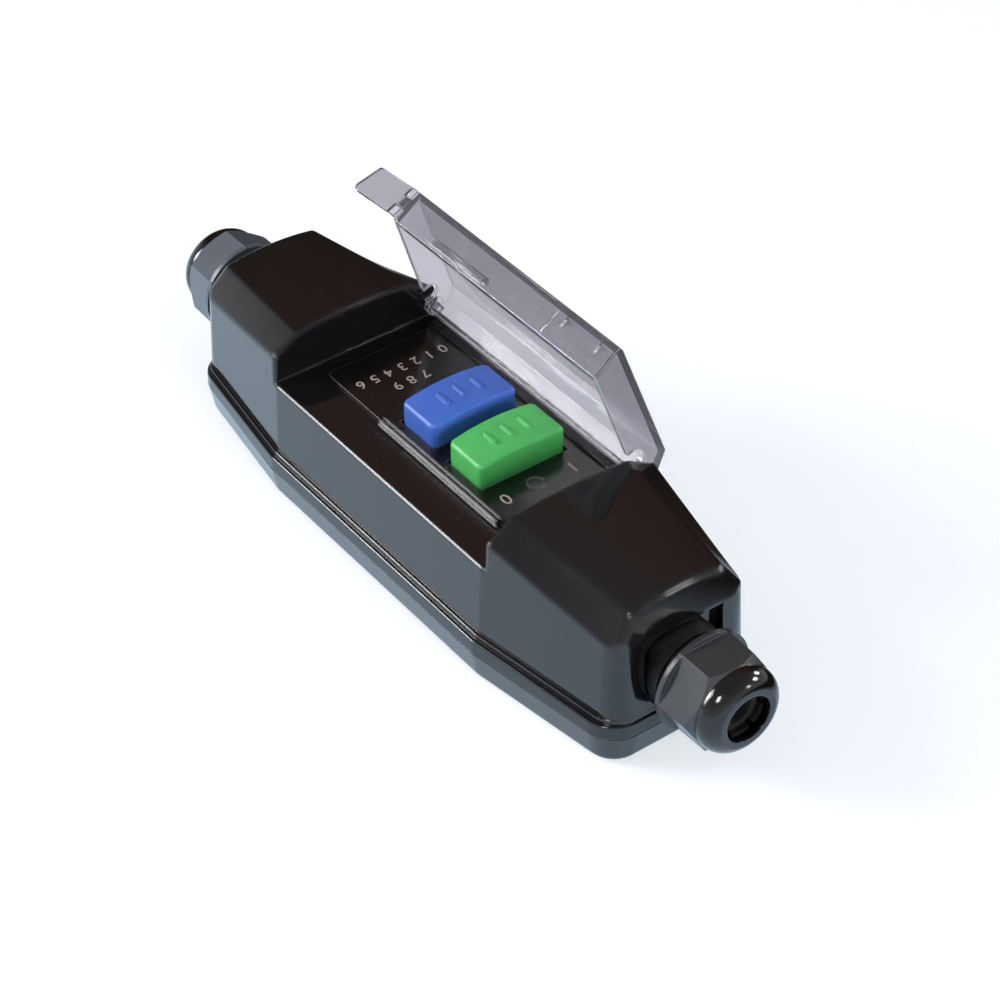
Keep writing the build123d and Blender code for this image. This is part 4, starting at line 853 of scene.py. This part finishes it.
class DEVICE_OT_windings(bpy.types.Operator):
    """Wind the summing transformer and the trip coil with their wire"""

    bl_idname = "device.windings"
    bl_label = "Windings"

    def execute(self, context):
        settings = context.scene.device_inside
        wire = wound_wire("lacquered_wire", tuple(settings.copper))
        tape = moulded(
            "core_tape", tuple(settings.tape), gloss=0.4, edge=0.3 * MM, texture=0.3 * MM,
            depth=0.01 * MM,
        )
        dress(tape.material, "current_transformer")
        bobbin = moulded(
            "bobbin", tuple(settings.bobbin), gloss=0.4, edge=0.2 * MM, texture=0.2 * MM,
            depth=0.004 * MM,
        )
        dress(bobbin.material, "solenoid_coil")
        self.wind_core(settings, wire)
        self.wind_coil(settings, wire)
        return {"FINISHED"}

    def wind_core(self, settings, wire):
        """Turns of wire laid round the ring, left out where it rests on the board.

        out is how far the wire stands off the ring, and rest is half the angle left out.
        """
        low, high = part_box("current_transformer")
        radius = (high.y - low.y) / 2
        middle = Vector(((low.x + high.x) / 2, (low.y + high.y) / 2, low.z + radius))
        bore = 4.2 * MM
        half = (high.x - low.x) / 2
        out = settings.core_wire * 0.42
        corner = 0.9 * MM
        tight = corner * 0.4
        rest = 0.5
        paths = []
        for turn in range(settings.core_turns):
            angle = 2 * math.pi * (turn + 0.5) / settings.core_turns - math.pi / 2
            if abs(angle + math.pi / 2) < rest or abs(angle - 1.5 * math.pi) < rest:
                continue
            outward = Vector((0, math.cos(angle), math.sin(angle)))
            near, far = bore - out, radius + out
            side = half + out
            loop = [
                (-side + corner, far), (side - corner, far), (side, far - corner),
                (side, near + tight), (side - tight, near),
                (-side + tight, near), (-side, near + tight), (-side, far - corner),
            ]
            paths.append([middle + Vector((x, 0, 0)) + outward * r for x, r in loop])
        data = wire_curve("transformer_turns", paths, settings.core_wire, closed=True)
        added("transformer_turns", data, "housing", wire)

    def wind_coil(self, settings, wire):
        """Wire wound side by side between the bobbin's flanges."""
        low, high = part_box("solenoid_coil")
        middle = (low + high) / 2
        flange = 1.0 * MM
        rim = 0.7 * MM
        radius = (high.z - low.z) / 2 - rim + settings.coil_wire * 0.35
        start = low.x + flange + settings.coil_wire * 0.6
        end = high.x - flange - settings.coil_wire * 0.6
        turns = (end - start) / (settings.coil_wire * 1.04)
        steps = 20
        path = []
        for index in range(int(turns * steps) + 1):
            angle = 2 * math.pi * index / steps
            along = start + (end - start) * index / (turns * steps)
            across, up = radius * math.cos(angle), radius * math.sin(angle)
            path.append((along, middle.y + across, middle.z + up))
        data = wire_curve("coil_turns", [path], settings.coil_wire)
        added("coil_turns", data, "housing", wire)


class DEVICE_OT_mechanism(bpy.types.Operator):
    """Finish the trip plunger, the contacts, their carrier and the indicator flag"""

    bl_idname = "device.mechanism"
    bl_label = "Mechanism"

    def execute(self, context):
        settings = context.scene.device_inside
        plate = metal("plated_frame", lighter(settings.steel, 0.9), gloss=0.34, stretch=ALONG_X)
        dress(plate, "solenoid_frame")
        ground = metal("ground_plunger", tuple(settings.steel), gloss=0.16, stretch=(1, 0.1, 0.1))
        dress(ground, "solenoid_plunger")
        white = moulded(
            "white_moulding", tuple(settings.white), gloss=0.42, edge=0.2 * MM,
            texture=0.2 * MM, depth=0.005 * MM, wear=1.1,
        )
        dress(white.material, "contact_yoke", "contact_carrier", "terminal_bases")
        brass = metal("contact_brass", tuple(settings.brass), gloss=0.24, stretch=ALONG_Y)
        dress(brass, "moving_contacts", "fixed_contacts")
        flag = moulded(
            "flag_moulding", tuple(settings.flag), gloss=0.4, edge=0.2 * MM, texture=0.2 * MM,
            depth=0.004 * MM, wear=1.2,
        )
        # The dark half lies under the window at rest, the coloured one with the contacts closed.
        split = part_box("indicator_flag")[0].y + 4.4 * MM
        closed = flag.scale(flag.axis("Y"), split, split + 0.1 * MM, 1, 0)
        cloudy = flag.fed("Base Color")
        flag.set(Base_Color=flag.blend(closed, tuple(settings.flag_dark), cloudy))
        dress(flag.material, "indicator_flag")
        return {"FINISHED"}


class DEVICE_OT_wiring(bpy.types.Operator):
    """Finish the conductors and the terminals"""

    bl_idname = "device.wiring"
    bl_label = "Wiring"

    def execute(self, context):
        settings = context.scene.device_inside

        def live_side(finish):
            """1 beyond the line between the neutral and the live conductors."""
            between = 4.2 * MM
            return finish.scale(finish.axis("Y"), between, between + 0.1 * MM, 0, 1)

        def stripe(finish):
            """1 on a band along the middle of the earth conductor."""
            half_width = 0.4 * MM
            low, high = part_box("earth_conductor")
            offset = finish.sum(finish.axis("Y"), -(low.y + high.y) / 2)
            offset = finish.sum(offset, 0.0, "ABSOLUTE")
            return finish.scale(offset, half_width, half_width + 0.05 * MM, 1, 0)

        pair = sleeve("paired_sleeves", live_side, tuple(settings.blue), tuple(settings.brown))
        dress(pair, "supply_conductors", "load_conductors")
        earth = sleeve("striped_sleeve", stripe, tuple(settings.green), tuple(settings.yellow))
        dress(earth, "earth_conductor")
        block = metal("terminal_brass", lighter(settings.brass, 0.92), gloss=0.3, stretch=ALONG_X)
        dress(block, "terminal_blocks")
        return {"FINISHED"}


class DEVICE_OT_stage(bpy.types.Operator):
    """Set the floor, the soft lamps, the painted reflections and the camera"""

    bl_idname = "device.stage"
    bl_label = "Stage"

    def execute(self, context):
        settings = context.scene.device_stage
        self.floor(settings)
        self.surroundings()
        self.screen()
        self.mat()
        self.lamp("window_lamp", (-0.67, -0.77, 0.52), 0.42, 0.62, settings.window_power)
        end = self.lamp("end_lamp", (1.15, -0.10, 0.42), 0.5, 0.4, settings.end_power)
        end.visible_glossy = False
        full_size = 0.24
        glints = [
            ("front_glint", (0.40, -0.74, 0.76), full_size),
            ("side_glint", (0.58, 0.84, 0.50), 0.2),
            ("back_glint", (0.12, 1.02, 0.50), 0.2),
            ("rim_glint", (0.92, 0.50, 0.38), 0.12),
            ("line_glint", (-0.62, -0.64, 0.45), 0.2),
        ]
        for name, place, size in glints:
            power = settings.glint_power * (size / full_size) ** 2
            glint = self.lamp(name, place, size, size, power)
            glint.visible_diffuse = False
        self.camera(context, settings)
        return {"FINISHED"}

    def floor(self, settings):
        """Pale round floor that keeps the device's shadow."""
        below = 0.03 * MM
        mesh = bmesh.new()
        bmesh.ops.create_circle(mesh, cap_ends=True, segments=96, radius=settings.floor_radius)
        data = mesh_data("floor", mesh)
        floor = bpy.data.objects.new("floor", data)
        floor.location = (0, 0, -below)
        bpy.context.scene.collection.objects.link(floor)
        finish = Finish("pale_floor")
        finish.set(
            Base_Color=finish.blend(
                finish.grain(0.2, 2), lighter(settings.floor, 0.99), lighter(settings.floor, 1.01)
            ),
            Roughness=0.9,
            Specular_IOR_Level=0.1,
        )
        rays = finish.node("ShaderNodeLightPath").outputs
        seen = finish.sum(rays["Is Camera Ray"], rays["Is Glossy Ray"], "MAXIMUM")
        seen = finish.sum(seen, rays["Is Transmission Ray"], "MAXIMUM")
        mirror = finish.sum(rays["Is Glossy Ray"], rays["Is Transmission Ray"], "SUBTRACT")
        shown = finish.blend(mirror, tuple(settings.backdrop), tuple(settings.mirrored))
        glow = finish.node("ShaderNodeEmission", [("Color", shown), ("Strength", seen)])
        both = finish.node(
            "ShaderNodeAddShader", [(0, finish.surface.outputs[0]), (1, glow.outputs[0])]
        )
        finish.show(both)
        data.materials.append(finish.material)

    def surroundings(self):
        """Soft room light, pale at the horizon and dimmer overhead."""
        world = bpy.data.worlds.new("room")
        bpy.context.scene.world = world
        world.use_nodes = True
        tree = world.node_tree
        tree.nodes.clear()
        direction = tree.nodes.new("ShaderNodeTexCoord").outputs["Generated"]
        split = tree.nodes.new("ShaderNodeSeparateXYZ")
        tree.links.new(direction, split.inputs[0])
        ramp = tree.nodes.new("ShaderNodeValToRGB")
        tree.links.new(split.outputs["Z"], ramp.inputs[0])
        stops = ramp.color_ramp.elements
        stops[0].position, stops[0].color = 0.1, (0.86, 0.88, 0.91, 1)
        stops[1].position, stops[1].color = 0.9, (0.34, 0.35, 0.37, 1)
        stops.new(0.5).color = (0.50, 0.51, 0.54, 1)
        sky = tree.nodes.new("ShaderNodeBackground")
        tree.links.new(ramp.outputs["Color"], sky.inputs["Color"])
        output = tree.nodes.new("ShaderNodeOutputWorld")
        tree.links.new(sky.outputs[0], output.inputs["Surface"])

    def screen(self):
        """Painted reflection: a dark brown screen behind the device, glowing darker towards the
        floor, which only its gloss shows.
        """
        radius, spread = 0.5, math.radians(52)
        facing = Vector((-0.63, 0.57, 0.53)).normalized()
        mesh = bmesh.new()
        bmesh.ops.create_uvsphere(mesh, u_segments=64, v_segments=32, radius=radius)
        outside = [v for v in mesh.verts if v.co.dot(facing) < radius * math.cos(spread)]
        bmesh.ops.delete(mesh, geom=outside, context="VERTS")
        data = mesh_data("painted_reflection_screen", mesh)
        finish = Finish("painted_reflection_screen")
        height = finish.scale(finish.axis("Z"), 0, radius, 0, 1)
        shade = finish.node("ShaderNodeValToRGB", [(0, height)])
        stops = shade.color_ramp.elements
        stops[0].position, stops[0].color = 0.1, (0.03, 0.02, 0.015, 1)
        stops[1].position, stops[1].color = 0.95, (0.34, 0.27, 0.24, 1)
        stops.new(0.5).color = (0.13, 0.08, 0.055, 1)
        stops.new(0.75).color = (0.30, 0.17, 0.13, 1)
        toward = finish.node(
            "ShaderNodeVectorMath",
            [(0, finish.place), (1, tuple(facing / radius))],
            operation="DOT_PRODUCT",
        )
        rim, inner = math.cos(spread * 0.96), math.cos(spread * 0.78)
        near = finish.scale(toward.outputs["Value"], rim, inner, 0, 1)
        self.glossy_only(data, finish, shade.outputs["Color"], near)

    def glossy_only(self, data, finish, shade, near):
        """Show a surface of the given colour in the device's gloss alone, as a painted reflection
        that glows though it is no lamp.
        """
        glow = finish.node("ShaderNodeEmission", [("Color", shade)])
        clear = finish.node("ShaderNodeBsdfTransparent")
        faded = finish.node(
            "ShaderNodeMixShader", [(0, near), (1, clear.outputs[0]), (2, glow.outputs[0])]
        )
        finish.show(faded)
        data.materials.append(finish.material)
        surface = bpy.data.objects.new(data.name, data)
        bpy.context.scene.collection.objects.link(surface)
        for kind in ("camera", "diffuse", "transmission", "volume_scatter", "shadow"):
            setattr(surface, "visible_" + kind, False)

    def lamp(self, name, place, wide, high, power):
        """Soft rectangular lamp that faces the device."""
        light = bpy.data.lights.new(name, "AREA")
        light.shape = "RECTANGLE"
        light.size, light.size_y = wide, high
        light.energy = power
        lamp = bpy.data.objects.new(name, light)
        lamp.visible_camera = False
        lamp.location = place
        lamp.rotation_mode = "QUATERNION"
        lamp.rotation_quaternion = (-Vector(place)).to_track_quat("-Z", "Y")
        bpy.context.scene.collection.objects.link(lamp)
        return lamp

    def mat(self):
        """Painted reflection: a dark mat on the floor behind the device, which only its gloss
        shows.
        """
        start, reach, height, fade = 0.045, 0.7, 0.0002, 0.035
        mesh = bmesh.new()
        corners = ((-reach, start), (reach, start), (reach, reach), (-reach, reach))
        mesh.faces.new([mesh.verts.new((x, y, height)) for x, y in corners])
        data = mesh_data("painted_reflection_mat", mesh)
        finish = Finish("painted_reflection_mat")
        shade = finish.blend(finish.grain(0.15, 2), (0.03, 0.02, 0.015), (0.05, 0.033, 0.024))
        near = finish.scale(finish.axis("Y"), start, start + fade, 0, 1)
        self.glossy_only(data, finish, shade, near)

    def camera(self, context, settings):
        """Camera above the near end, looking down along the device."""
        turn, tilt, roll = 0.940998, 0.700009, -0.013738
        reach, shift_x, shift_y, height = 761.5 * MM, -10.02 * MM, 6.42 * MM, 21.75 * MM
        right = Vector((math.cos(turn), math.sin(turn), 0))
        up = Vector(
            (-math.sin(turn) * math.sin(tilt), math.cos(turn) * math.sin(tilt), math.cos(tilt))
        )
        ahead = Vector(
            (-math.sin(turn) * math.cos(tilt), math.cos(turn) * math.cos(tilt), -math.sin(tilt))
        )
        across = math.cos(roll) * right + math.sin(roll) * up
        upward = math.cos(roll) * up - math.sin(roll) * right
        place = Vector((0, 0, height)) - shift_x * across - shift_y * upward - reach * ahead
        view = bpy.data.cameras.new("camera")
        view.lens = settings.lens
        view.sensor_width = 36
        view.clip_start, view.clip_end = 0.01, 20
        camera = bpy.data.objects.new("camera", view)
        axes = Matrix((across, upward, -ahead)).transposed()
        camera.matrix_world = Matrix.Translation(place) @ axes.to_4x4()
        context.scene.collection.objects.link(camera)
        context.scene.camera = camera
        context.scene.view_settings.view_transform = "Standard"


OPERATORS = (
    DEVICE_OT_housing,
    DEVICE_OT_fascia,
    DEVICE_OT_buttons,
    DEVICE_OT_cover,
    DEVICE_OT_glands,
    DEVICE_OT_board,
    DEVICE_OT_windings,
    DEVICE_OT_mechanism,
    DEVICE_OT_wiring,
    DEVICE_OT_stage,
)
SETTINGS = {
    "device_housing": HousingSettings,
    "device_fascia": FasciaSettings,
    "device_buttons": ButtonSettings,
    "device_cover": CoverSettings,
    "device_glands": GlandSettings,
    "device_inside": InsideSettings,
    "device_stage": StageSettings,
}


class DEVICE_PT_panel(bpy.types.Panel):
    """The device's sizes, colours and operators"""

    bl_idname = "DEVICE_PT_panel"
    bl_label = "Inline residual current device"
    bl_space_type = "VIEW_3D"
    bl_region_type = "UI"
    bl_category = "Device"

    def draw(self, context):
        for name, group in SETTINGS.items():
            box = self.layout.box()
            box.label(text=group.__doc__)
            for key in group.__annotations__:
                box.prop(getattr(context.scene, name), key)
        for operator in OPERATORS:
            self.layout.operator(operator.bl_idname)


CLASSES = (*SETTINGS.values(), *OPERATORS, DEVICE_PT_panel)


def register():
    """Register the settings, the operators and the panel."""
    for listed in CLASSES:
        bpy.utils.register_class(listed)
    for name, group in SETTINGS.items():
        setattr(bpy.types.Scene, name, PointerProperty(type=group))


def unregister():
    """Take the settings, the operators and the panel out again."""
    for name in SETTINGS:
        delattr(bpy.types.Scene, name)
    for listed in reversed(CLASSES):
        bpy.utils.unregister_class(listed)


def main():
    """Dress the device and set the stage."""
    register()
    for operator in OPERATORS:
        family, name = operator.bl_idname.split(".")
        getattr(getattr(bpy.ops, family), name)()


if __name__ == "__main__":
    main()
